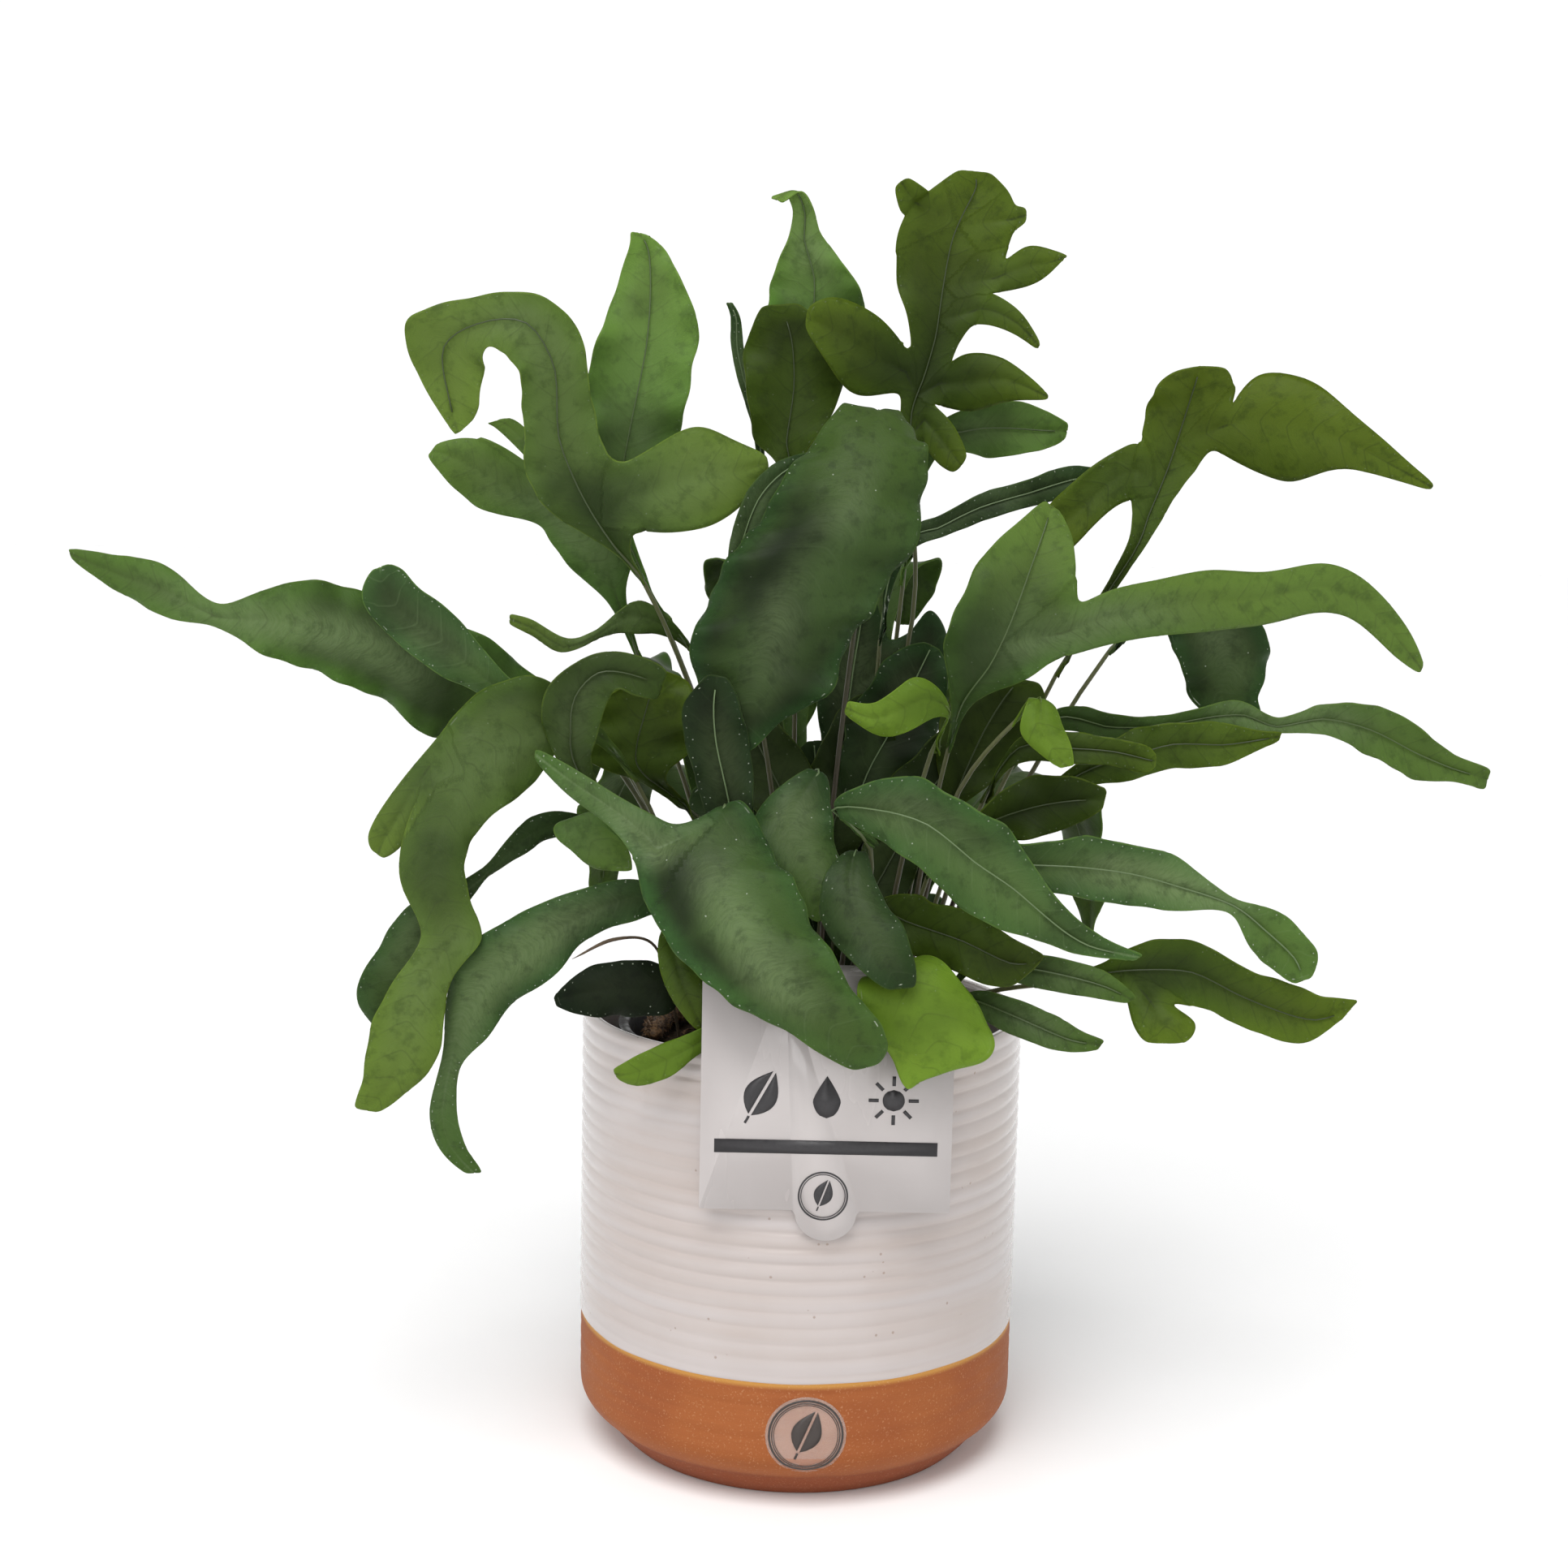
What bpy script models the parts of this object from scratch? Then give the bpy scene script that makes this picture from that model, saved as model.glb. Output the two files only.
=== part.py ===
"""A potted fern: a bushy strap-leaved fern in a nursery pot, stood in a ribbed, half-glazed
ceramic cover pot, with a plastic plant label hooked over the rim and a clear round sticker.

Lengths in the tables below are in millimetres; the model itself is in metres, +Z up.
The origin is the middle of the pot's foot, and the front of the plant looks along -Y.
"""

import math

import bmesh
import bpy
import numpy as np
from mathutils import Vector

MM = 0.001

# ---- driving dimensions (mm) ----
POT_HEIGHT = 144.0
POT_RADIUS = 72.0
POT_WALL = 4.5
POT_FLOOR = 8.0
FOOT_RADIUS = 57.0
FOOT_HEIGHT = 9.0
SHOULDER_HEIGHT = 18.0
SHOULDER_RISE = 4.0
SHOULDER_INSET = 2.5
FOOT_BREAK_INSET = 7.0
LIP_ROUND = 2.0
POT_INSIDE_CHAMFER = 6.0
TURN_STEPS = 48

CLEARANCE = 0.3
NURSERY_SIDE_GAP = 9.5
NURSERY_FOOT_RADIUS = 46.0
NURSERY_WALL = 1.2
NURSERY_LIP = 2.5
NURSERY_LIP_HEIGHT = 5.0
NURSERY_BELOW_RIM = 6.0
SOIL_BELOW_LIP = 7.0
SOIL_EDGE = 2.0
RHIZOME_RADIUS = 4.5

LABEL_WIDTH = 75.5
LABEL_BELOW_RIM = 46.0
LABEL_ABOVE_RIM = 26.0
LABEL_THICKNESS = 0.8
LABEL_TAB_RADIUS = 9.5
LABEL_CENTRE_X = 7.3
LABEL_GAP = 1.6
LABEL_LEG_WIDTH = 26.0
LABEL_LEG_BELOW_RIM = 30.0
LABEL_FOLD_DROP = 1.5
LABEL_TAB_OFFSET = 0.4
TAB_POINTS = 9
STICKER_RADIUS = 12.5
STICKER_THICKNESS = 0.3
STICKER_X = 3.4
STICKER_HEIGHT = 25.6
STICKER_GAP = 0.6

STEM_WIDTH = 1.8
LEAF_THICKNESS = 1.0
MIDRIB_FOLD = 0.07
BLADE_FULLNESS = 1.08
BACK_HALF_WIDTHS = (0.9, 0.9, 5, 15, 16, 11, 2)
LEAF_ROUGHNESS = 0.5

BACK_COUNT = 8
BACK_FIRST_AZIMUTH = 38.0
BACK_AZIMUTH_STEP = 15.0
BACK_REACH = (124.0, 98.0, 76.0)
BACK_TOP = (214.0, 252.0, 286.0)
BACK_DROOP = (62.0, 48.0, 22.0)
BACK_BASE_RADIUS = 36.0
BACK_BASE_STEP = 4.0
BACK_CENTRE_X = 4.0

DRIED_STEM_RADIUS = 0.6
DRIED_STEM = [(-38, -24), (-42, -38, 158), (-47, -50, 174), (-58, -60, 177), (-70, -66, 172)]
RHIZOME_ROUTE = [(-48, -14), (-48, 0), (-45, 14), (-38, 28), (-27, 38)]

# ---- the rim that the plant's tables are drawn around: the plant moves and spreads with it ----
DRAWN_RIM_HEIGHT = 144.0
DRAWN_RIM_RADIUS = 72.0

# ---- levels that follow from the driving dimensions ----
PLANT_LIFT = POT_HEIGHT - DRAWN_RIM_HEIGHT
PLANT_SPREAD = POT_RADIUS / DRAWN_RIM_RADIUS
NURSERY_TOP_RADIUS = POT_RADIUS - POT_WALL - NURSERY_SIDE_GAP
NURSERY_FLOOR_Z = POT_FLOOR + CLEARANCE
NURSERY_TOP_Z = POT_HEIGHT - NURSERY_BELOW_RIM
SOIL_TOP_Z = NURSERY_TOP_Z - SOIL_BELOW_LIP
STEM_START_Z = SOIL_TOP_Z + CLEARANCE + LEAF_THICKNESS

# ---- leaf colours, and the fronds of each; every other frond is leaf_glaucous ----
LEAF_COLOURS = {
    "leaf_glaucous": (0.07, 0.13, 0.065),
    "leaf_fresh": (0.13, 0.22, 0.06),
    "leaf_olive": (0.075, 0.13, 0.02),
    "leaf_lime": (0.2, 0.34, 0.07),
    "leaf_dark": (0.035, 0.06, 0.03),
}
LEAF_GROUPS = {
    "leaf_fresh": ("upright_left", "left_high", "curled_pale", "pale_right", "right_star",
                   "left_pale", "far_right", "left_curl", "right_low", "right_tongue"),
    "leaf_olive": ("top", "upright_dark", "bird", "right_high", "right_wavy", "right_olive",
                   "left_hook", "left_fan", "left_wavy", "left_spur", "right_blunt"),
    "leaf_lime": ("front_star", "left_lime", "kite", "bright_curl"),
    "leaf_dark": ("left_rim", "front_dark", "front_oblong", "thin_dark", "right_dark",
                  "sliver", "ribbon", "left_blue", "deep_centre", "deep_right"),
}

# ---- the fronds ----
# Each frond is: "name": (stem points, blade rows, lobes).
# A stem point is (x, y, z); the first one has only (x, y), because it stands on the soil.
# A blade row crosses the blade: (left x, left z, right x, right z, y), base to tip.
# A lobe hangs on one side of a blade row: (row, side, its own rows), near edge first.
FRONDS = {
    "frond_front_drape": (
        [(-14, -26), (-20, -36, 170), (-24, -49, 200), (-26, -57, 214)],
        [(-30, 217, -20, 221, -63), (-46, 206, -13, 208, -68), (-48, 196, -6, 198, -76),
         (-40, 183, 1, 188, -84), (-28, 171, 7, 178, -89), (-13, 162, 16, 166, -92),
         (3, 154, 24, 156, -94), (14, 147, 22, 149, -93)],
        [(1, "left", [(-52, 219, -57, 212, -67), (-68, 228, -71, 221, -63),
                      (-82, 235, -82, 231, -60)])],
    ),
    "frond_front_star": (
        [(18, -36), (25, -50, 158), (30, -62, 170)],
        [(26, 173, 34, 175, -70), (17, 169, 46, 172, -79), (20, 159, 52, 161, -82),
         (26, 149, 54, 152, -84), (29, 142, 46, 146, -84), (31, 139, 36, 143, -84)],
        [],
    ),
    "frond_front_dark": (
        [(8, -36), (12, -42, 170), (15, -54, 197)],
        [(12, 207, 17, 206, -63), (5, 198, 20, 199, -71), (5, 187, 25, 189, -79),
         (13, 178, 31, 179, -86), (24, 170, 32, 171, -89)],
        [],
    ),
    "frond_front_tongue": (
        [(-4, -28), (-3, -34, 180), (0, -42, 222)],
        [(0, 228, 6, 227, -48), (-14, 219, 6, 216, -53), (-16, 209, 8, 206, -57),
         (-10, 201, 11, 200, -61), (-4, 191, 9, 191, -65), (3, 185, 7, 186, -66)],
        [],
    ),
    "frond_front_oblong": (
        [(-7, -18), (-14, -30, 170), (-21, -42, 196)],
        [(-28, 206, -18, 208, -48), (-32, 220, -16.5, 218, -51), (-37, 236, -19, 236, -55),
         (-37, 249, -21, 248, -58), (-31, 258, -25, 257, -58)],
        [],
    ),
    "frond_front_right": (
        [(12, -36), (17, -46, 175), (19, -58, 206)],
        [(6, 220, 8, 217, -64), (19, 229, 20, 212, -74), (36, 229, 33, 206, -81),
         (51, 221, 45, 194, -84), (62, 211, 58, 188, -84), (74, 195, 70, 184, -83),
         (86, 185, 80, 180, -81), (99, 180, 97, 178, -79)],
        [],
    ),
    "frond_right_arching": (
        [(28, -32), (31, -40, 165), (37, -48, 196)],
        [(44, 208, 45, 202, -54), (60, 209, 59, 197, -61), (80, 211, 77, 195, -64),
         (98, 210, 96, 192, -63), (115, 203, 112, 190, -61), (129, 193, 128, 190, -60),
         (143, 189, 134, 179, -58), (155, 178, 142, 172, -57), (154, 169, 149, 167, -57)],
        [],
    ),
    "frond_right_wavy": (
        [(42, -6), (54, -22, 152), (72, -40, 161)],
        [(91, 170, 92, 165, -50), (103, 178, 104, 161, -53), (118, 179, 118, 160, -55),
         (133, 171, 129, 156, -55), (147, 166, 142, 150, -54), (159, 162, 155, 148, -53),
         (170, 161, 166, 156, -52)],
        [(1, "right", [(101, 153, 119, 154, -57), (105, 148, 116, 148, -58)])],
    ),
    "frond_right_low": (
        [(40, -26), (45, -38, 150)],
        [(50, 160, 49, 156, -48), (60, 162, 58, 152, -56), (72, 158, 70, 148, -61),
         (82, 153, 80, 146, -63), (91, 150, 89, 147, -64)],
        [],
    ),
    "frond_right_tongue": (
        [(40, -16), (46, -32, 156)],
        [(52, 171, 52, 167, -48), (66, 175, 64, 166, -57), (80, 174, 79, 164, -62),
         (92, 170, 90, 163, -65), (100, 164, 97, 162, -66)],
        [],
    ),
    "frond_right_skirt": (
        [(24, -28), (27, -37, 165), (25, -46, 182)],
        [(23, 190, 22, 184, -52), (32, 192, 28, 177, -60), (48, 189, 46, 171, -66),
         (62, 182, 60, 167, -70), (71, 177, 69, 174, -71)],
        [],
    ),
    "frond_left_rim": (
        [(-30, -22), (-34, -38, 150)],
        [(-36, 163, -37, 157, -50), (-43, 168, -42, 154, -55), (-55, 170, -55, 153, -58),
         (-67, 167, -67, 154, -59), (-76, 159, -75, 156, -60)],
        [],
    ),
    "frond_left_spur": (
        [(-16, -32), (-26, -46, 162), (-36, -55, 178)],
        [(-43, 181, -39, 181, -57), (-44, 171, -34, 171, -62), (-40, 160, -30, 162, -65),
         (-32, 151, -29, 152, -66)],
        [],
    ),
    "frond_left_lime": (
        [(-10, -38), (-14, -52, 152)],
        [(-20, 156, -20, 152, -62), (-33, 151, -32, 144, -69), (-43, 147, -42, 137, -70),
         (-52, 142, -51, 134, -69), (-57, 139, -56, 136, -68)],
        [],
    ),
    "frond_left_long": (
        [(-26, -28), (-30, -38, 162), (-35, -47, 180)],
        [(-40, 189, -38, 184, -51), (-54, 195, -50, 184, -55), (-72, 190, -66, 177, -58),
         (-90, 182, -78, 165, -60), (-103, 172, -89, 156, -60), (-109, 158, -98, 145, -60),
         (-109, 140, -105, 136, -59), (-114, 123, -106, 121, -58), (-112, 111, -103, 110, -57),
         (-103, 102, -98, 102, -56)],
        [],
    ),
    "frond_left_wavy": (
        [(-30, -8), (-38, -18, 180), (-54, -32, 222)],
        [(-70, 246, -71, 238, -44), (-86, 255, -84, 223, -50), (-104, 247, -94, 217, -54),
         (-113, 228, -101, 208, -57), (-121, 208, -104, 198, -60), (-121, 192, -101, 186, -62),
         (-114, 178, -97, 177, -64), (-122, 166, -107, 166, -66), (-130, 150, -109, 150, -66),
         (-132, 134, -114, 135, -65), (-136, 124, -128, 123, -64)],
        [(3, "left", [(-125, 220, -118, 212, -54), (-133, 207, -124, 203, -52),
                      (-132, 201, -129, 199, -51)])],
    ),
    "frond_far_left": (
        [(-34, 4), (-44, -2, 190), (-64, -10, 230)],
        [(-84, 250, -86, 240, -20), (-100, 263, -108, 232, -26), (-118, 270, -124, 239, -31),
         (-136, 278, -138, 250, -35), (-152, 281, -153, 255, -38), (-168, 279, -168, 261, -40),
         (-181, 273, -182, 268, -40), (-196, 285, -196, 270, -38), (-212, 288, -212, 277, -36),
         (-228, 290, -227, 287, -34)],
        [],
    ),
    "frond_left_blue": (
        [(-22, 8), (-42, -8, 190), (-68, -24, 234)],
        [(-90, 250, -95, 245, -36), (-100, 262, -107, 252, -41), (-108, 272, -118, 259, -44),
         (-119, 280, -130, 268, -45), (-124, 286, -136, 278, -45), (-128, 288, -133, 286, -45)],
        [],
    ),
    "frond_left_grey": (
        [(-28, 14), (-40, -4, 176), (-58, -20, 200)],
        [(-76, 212, -78, 204, -32), (-90, 207, -93, 196, -38), (-99, 195, -101, 189, -43),
         (-110, 189, -106, 182, -46), (-122, 183, -110, 172, -48), (-131, 170, -114, 160, -50),
         (-137, 155, -122, 148, -51), (-132, 146, -128, 144, -51)],
        [],
    ),
    "frond_left_hook": (
        [(-18, -2), (-36, -18, 172), (-58, -35, 206)],
        [(-74, 226, -67, 228, -48), (-80, 240, -64, 238, -54), (-79, 252, -62, 248, -57),
         (-68, 262, -59, 253, -57), (-54, 263, -54, 251, -55), (-43, 258, -46, 249, -52)],
        [],
    ),
    "frond_left_fan": (
        [(-8, 12), (-16, 2, 176), (-34, -10, 206)],
        [(-54, 221, -46, 222, -26), (-70, 228, -38, 230, -29), (-68, 240, -35, 242, -31),
         (-60, 250, -38, 251, -31), (-52, 256, -46, 256, -31)],
        [],
    ),
    "frond_bird": (
        [(-11, -8), (-22, -11, 200), (-38, -16, 250), (-52, -24, 282)],
        [(-64, 294, -57, 292, -29), (-84, 307, -56, 308, -33), (-88, 324, -68, 330, -36),
         (-88, 341, -70, 352, -38), (-93, 352, -82, 369, -40), (-100, 353, -105, 367, -38),
         (-102, 345, -124, 361, -35), (-103, 335, -121, 345, -34), (-108, 328, -110, 327, -33)],
        [(1, "right", [(-44, 300, -48, 324, -34), (-32, 302, -37, 330, -35),
                       (-22, 308, -26, 327, -34), (-14, 318, -15, 323, -32)])],
    ),
    "frond_upright_left": (
        [(-6, 18), (-22, 10, 200), (-44, 0, 262)],
        [(-64, 303, -60, 303, -10), (-71, 318, -50, 316, -11), (-72, 336, -42, 336, -10),
         (-69, 354, -38, 357, -8), (-63, 372, -42, 374, -6), (-59, 386, -48, 385, -4),
         (-59, 391, -54, 390, -4)],
        [],
    ),
    "frond_left_high": (
        [(-20, 22), (-36, 18, 200), (-54, 8, 252)],
        [(-61, 278, -65, 274, 6), (-57, 291, -74, 282, 8), (-67, 301, -84, 293, 10),
         (-82, 310, -89, 300, 11), (-96, 320, -106, 303, 12), (-110, 326, -117, 311, 12),
         (-122, 324, -125, 320, 12)],
        [(3, "left", [(-92, 328, -102, 329, 14), (-99, 333, -106, 331, 14)])],
    ),
    "frond_top": (
        [(10, 16), (22, 24, 200), (34, 24, 270), (33, 21, 302)],
        [(30, 322, 34, 322, 20), (28, 338, 35, 336, 20), (30, 350, 40, 346, 20),
         (31, 362, 46, 360, 20), (28, 374, 52, 371, 20), (26, 386, 57, 381, 21),
         (27, 396, 60, 391, 22), (32, 404, 62, 400, 23), (40, 411, 61, 408, 24),
         (45, 415, 55, 414.5, 24)],
        [(1, "right", [(40, 322, 45, 333, 17), (46, 318, 50, 323, 15)]),
         (2, "left", [(14, 343, 20, 367, 16), (4, 352, 6, 373, 14), (-4, 363, -3, 370, 13)]),
         (2, "right", [(50, 338, 49, 356, 17), (62, 342, 61, 355, 14), (75, 342, 75, 344, 12)]),
         (4, "right", [(56, 366, 59, 374, 17), (64, 363, 66, 369, 14), (71, 358, 72, 360, 12)]),
         (5, "right", [(66, 378, 67, 391, 20), (73, 381, 74, 390, 18), (79, 387, 80, 388, 16)]),
         (7, "left", [(26, 402, 34, 408, 20), (24, 409, 28, 412, 19)]),
         (7, "right", [(67, 399, 67, 403, 22)])],
    ),
    "frond_pale_right": (
        [(16, 28), (24, 36, 200), (31, 36, 280)],
        [(36, 326, 38, 321, 33), (49, 338, 50, 325, 35), (63, 342, 63, 324, 37),
         (76, 339, 76, 326, 38), (85, 335, 84, 330, 38)],
        [],
    ),
    "frond_upright_dark": (
        [(-2, 24), (-4, 29, 200), (-5, 28, 280)],
        [(-10, 318, -5, 318, 25), (-19, 327, 1, 328, 25), (-22, 343, 8, 345, 26),
         (-22, 359, 6, 361, 27), (-18, 371, -6, 372, 28)],
        [],
    ),
    "frond_curled_pale": (
        [(8, 28), (6, 33, 220), (0, 35, 310)],
        [(-6, 352, 6, 352, 37), (-16, 366, 14, 368, 38), (-14, 380, 12, 382, 39),
         (-10, 393, 1, 393, 39), (-8, 402, -1, 401, 38), (-11, 408, -5, 409, 35),
         (-16, 406, -12, 404, 31)],
        [],
    ),
    "frond_sliver": (
        [(-10, 32), (-12, 38, 220), (-16, 38, 300)],
        [(-20, 330, -17, 330, 37), (-25, 345, -21, 345, 37), (-28, 357, -24, 357, 37),
         (-28, 367, -25, 367, 36), (-30, 372, -28, 372, 35)],
        [],
    ),
    "frond_ribbon": (
        [(-2, -18), (-10, -24, 210), (-20, -32, 265)],
        [(-26, 284, -22, 284, -37), (-25, 297, -18, 297, -40), (-21, 311, -13, 308, -42),
         (-13, 320, -7, 315, -42), (-2, 324, -1, 321, -38)],
        [],
    ),
    "frond_centre": (
        [(4, -14), (8, -14, 210), (16, -12, 290), (19, -16, 328)],
        [(12, 337, 26, 337, -30), (0, 329, 32, 326, -42), (-12, 309, 31, 308, -48),
         (-22, 294, 26, 292, -51), (-32, 276, 14, 276, -52), (-35, 260, 6, 257, -52),
         (-31, 246, -6, 245, -51), (-22, 233, -18, 234, -50)],
        [],
    ),
    "frond_deep_centre": (
        [(2, 14), (4, 20, 190), (8, 24, 215)],
        [(6, 226, 12, 226, 26), (3, 238, 23, 238, 27), (4, 252, 26, 254, 28),
         (10, 266, 24, 268, 29), (16, 278, 20, 279, 29)],
        [(2, "right", [(33, 243, 34, 264, 30), (41, 244, 40, 272, 32), (47, 250, 46, 266, 33)])],
    ),
    "frond_deep_right": (
        [(28, 4), (34, 2, 180), (40, 0, 206)],
        [(44, 214, 50, 212, -3), (42, 226, 60, 220, -4), (43, 240, 70, 232, -4),
         (50, 250, 76, 244, -3), (62, 254, 74, 252, -2)],
        [],
    ),
    "frond_right_star": (
        [(30, -12), (36, -22, 190), (43, -36, 234)],
        [(43, 249, 50, 251, -46), (41, 264, 66, 258, -50), (43, 278, 76, 272, -52),
         (52, 294, 78, 288, -50), (61, 304, 77, 300, -46), (69, 311, 74, 308, -42)],
        [(2, "right", [(88, 269, 90, 285, -47), (104, 271, 104, 287, -40),
                       (121, 272, 121, 290, -31), (140, 274, 141, 289, -23),
                       (156, 278, 160, 293, -17), (171, 276, 176, 286, -13),
                       (185, 264, 189, 272, -11), (194, 258, 195, 261, -10)])],
    ),
    "frond_bright_curl": (
        [(22, -24), (28, -36, 190), (37, -47, 234)],
        [(42, 249, 42, 246, -55), (34, 258, 34, 246, -59), (27, 256, 25, 241, -61),
         (19, 250, 18, 242, -61), (11, 251, 10, 247, -60)],
        [],
    ),
    "frond_kite": (
        [(30, -22), (36, -32, 180), (46, -44, 222), (61, -52, 244)],
        [(66, 253, 71, 253, -57), (62, 244, 74, 246, -63), (67, 238, 77, 238, -66),
         (74, 233, 78, 234, -67)],
        [],
    ),
    "frond_right_high": (
        [(36, 18), (54, 11, 190), (80, 4, 254)],
        [(99, 292, 105, 294, -2), (102, 304, 112, 307, 0), (104, 320, 122, 322, 2),
         (106, 336, 128, 334, 2), (107, 347, 132, 346, -2), (113, 352, 128, 353, -6)],
        [(2, "left", [(96, 309, 100, 328, 4), (84, 295, 86, 318, 6), (74, 287, 74, 306, 8)]),
         (3, "right", [(138, 323, 140, 351, 0), (151, 318, 155, 350, -4),
                       (165, 323, 168, 339, -8), (180, 320, 183, 327, -10),
                       (194, 316, 195, 318, -10)])],
    ),
    "frond_thin_dark": (
        [(20, 8), (21, 14, 200), (23, 16, 262)],
        [(27, 296, 30, 291, 15), (40, 303, 42, 297, 17), (54, 311, 56, 303, 19),
         (70, 316, 72, 308, 21), (84, 321, 86, 312, 23), (97, 320, 98, 317, 23)],
        [],
    ),
    "frond_right_hanging": (
        [(40, 10), (62, 0, 200), (95, -6, 262)],
        [(112, 280, 124, 284, -6), (114, 270, 143, 272, -4), (121, 258, 147, 260, -3),
         (122, 249, 143, 250, -2), (130, 242, 146, 241, -2)],
        [],
    ),
    "frond_far_right": (
        [(42, 2), (52, -12, 190), (64, -19, 226)],
        [(76, 246, 78, 240, -23), (92, 245, 94, 236, -22), (108, 243, 110, 238, -20),
         (124, 247, 126, 240, -19), (137, 249, 138, 240, -18), (148, 243, 148, 239, -17),
         (162, 248, 164, 239, -15), (178, 248, 180, 232, -13), (193, 242, 192, 225, -11),
         (206, 232, 206, 224, -10), (219, 228, 218, 221, -8)],
        [],
    ),
    "frond_right_olive": (
        [(36, -8), (50, -20, 180), (66, -27, 210)],
        [(84, 230, 86, 223, -30), (98, 239, 100, 225, -32), (112, 243, 114, 230, -32),
         (127, 243, 129, 230, -31), (139, 241, 139, 235, -30), (147, 241, 146, 238, -30)],
        [],
    ),
    "frond_right_blunt": (
        [(34, -20), (42, -30, 180), (54, -38, 218)],
        [(64, 240, 64, 232, -44), (78, 241, 78, 232, -47), (92, 240, 92, 232, -49),
         (102, 238, 102, 230, -50), (105, 235, 105, 232, -50)],
        [],
    ),
    "frond_right_dark": (
        [(32, -30), (38, -38, 175), (43, -43, 196)],
        [(50, 214, 52, 206, -46), (64, 226, 66, 209, -50), (78, 229, 78, 213, -53),
         (90, 225, 89, 219, -54)],
        [],
    ),
    "frond_left_pale": (
        [(-32, -14), (-38, -30, 172), (-50, -44, 202)],
        [(-64, 214, -58, 217, -50), (-77, 210, -60, 211, -52), (-71, 203, -55, 204, -53),
         (-65, 197, -53, 197, -53)],
        [],
    ),
    "frond_left_curl": (
        [(-12, -2), (-17, -9, 190), (-30, -10, 245), (-38, -10, 261)],
        [(-46, 272, -47, 266, -14), (-56, 277, -60, 267, -18), (-66, 268, -68, 264, -21),
         (-76, 264, -78, 260, -23), (-86, 270, -86, 265, -24), (-94, 272, -94, 269, -24)],
        [],
    ),
}


def blend(controls, steps):
    """Smooth curve through the control values, with `steps` pieces between each two."""
    values = np.array(controls, dtype=float)
    padded = np.vstack([2 * values[0] - values[1], values, 2 * values[-1] - values[-2]])
    curve = []
    for i in range(1, len(padded) - 2):
        before, start, end, after = padded[i - 1:i + 3]
        for step in range(steps):
            t = step / steps
            curve.append(0.5 * (2 * start + (end - before) * t
                                + (2 * before - 5 * start + 4 * end - after) * t ** 2
                                + (3 * start - before - 3 * end + after) * t ** 3))
    curve.append(values[-1])
    return curve


def around_rim(x, y, z):
    """A drawn point where the pot's rim takes it: out with its radius, up with its height."""
    return [x * PLANT_SPREAD, y * PLANT_SPREAD, z + PLANT_LIFT]


def edge_pair(row):
    """A table row (left x, left z, right x, right z, y) as its two edge points.

    Both points move out a little from the row's middle, by BLADE_FULLNESS.
    """
    left_x, left_z, right_x, right_z, y = row
    extra_x = (right_x - left_x) * (BLADE_FULLNESS - 1) / 2
    extra_z = (right_z - left_z) * (BLADE_FULLNESS - 1) / 2
    return [*around_rim(left_x - extra_x, y, left_z - extra_z),
            *around_rim(right_x + extra_x, y, right_z + extra_z)]


def add_strip(bm, rows, root=None):
    """Three vertices across each row, joined into a strip two faces wide.

    A lobe's strip begins on its root, three vertices that its blade already has.
    """
    strip = [root] if root else []
    middles = [(row[:3] + row[3:]) / 2 for row in rows]
    for i, row in enumerate(rows):
        if root and i == 0:
            continue
        along = middles[min(i + 1, len(rows) - 1)] - middles[max(i - 1, 0)]
        across = row[3:] - row[:3]
        normal = np.cross(along, across)
        normal /= np.linalg.norm(normal)
        middle = middles[i] + normal * MIDRIB_FOLD * np.linalg.norm(across)
        points = (row[:3], middle, row[3:])
        strip.append([bm.verts.new(Vector(point) * MM) for point in points])
    for near, far in zip(strip, strip[1:]):
        bm.faces.new((near[0], near[1], far[1], far[0]))
        bm.faces.new((near[1], near[2], far[2], far[1]))
    return strip


def frond_mesh(name, stem, blade, lobes):
    """One sheet for stem, blade and lobes, which Solidify then gives its thickness."""
    rows = [edge_pair(row) for row in blade]
    across = np.subtract(rows[0][3:], rows[0][:3])
    half_stem = across / np.linalg.norm(across) * STEM_WIDTH / 2
    base = (*around_rim(*stem[0], 0)[:2], STEM_START_Z)
    points = [base] + [around_rim(*point) for point in stem[1:]]
    stem_rows = [[*np.subtract(point, half_stem), *np.add(point, half_stem)]
                 for point in points]
    steps = 2
    bm = bmesh.new()
    strip = add_strip(bm, blend(stem_rows + rows, steps))
    for row, side, lobe_rows in lobes:
        index = (len(stem_rows) + row) * steps
        column = 0 if side == "left" else 2
        root = [strip[index + offset][column] for offset in (-1, 0, 1)]
        controls = [[*(root[0].co / MM), *(root[2].co / MM)]] + [edge_pair(r) for r in lobe_rows]
        add_strip(bm, blend(controls, 1), root)
    bmesh.ops.recalc_face_normals(bm, faces=bm.faces)
    mesh = bpy.data.meshes.new(name)
    bm.to_mesh(mesh)
    bm.free()
    return mesh


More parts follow.
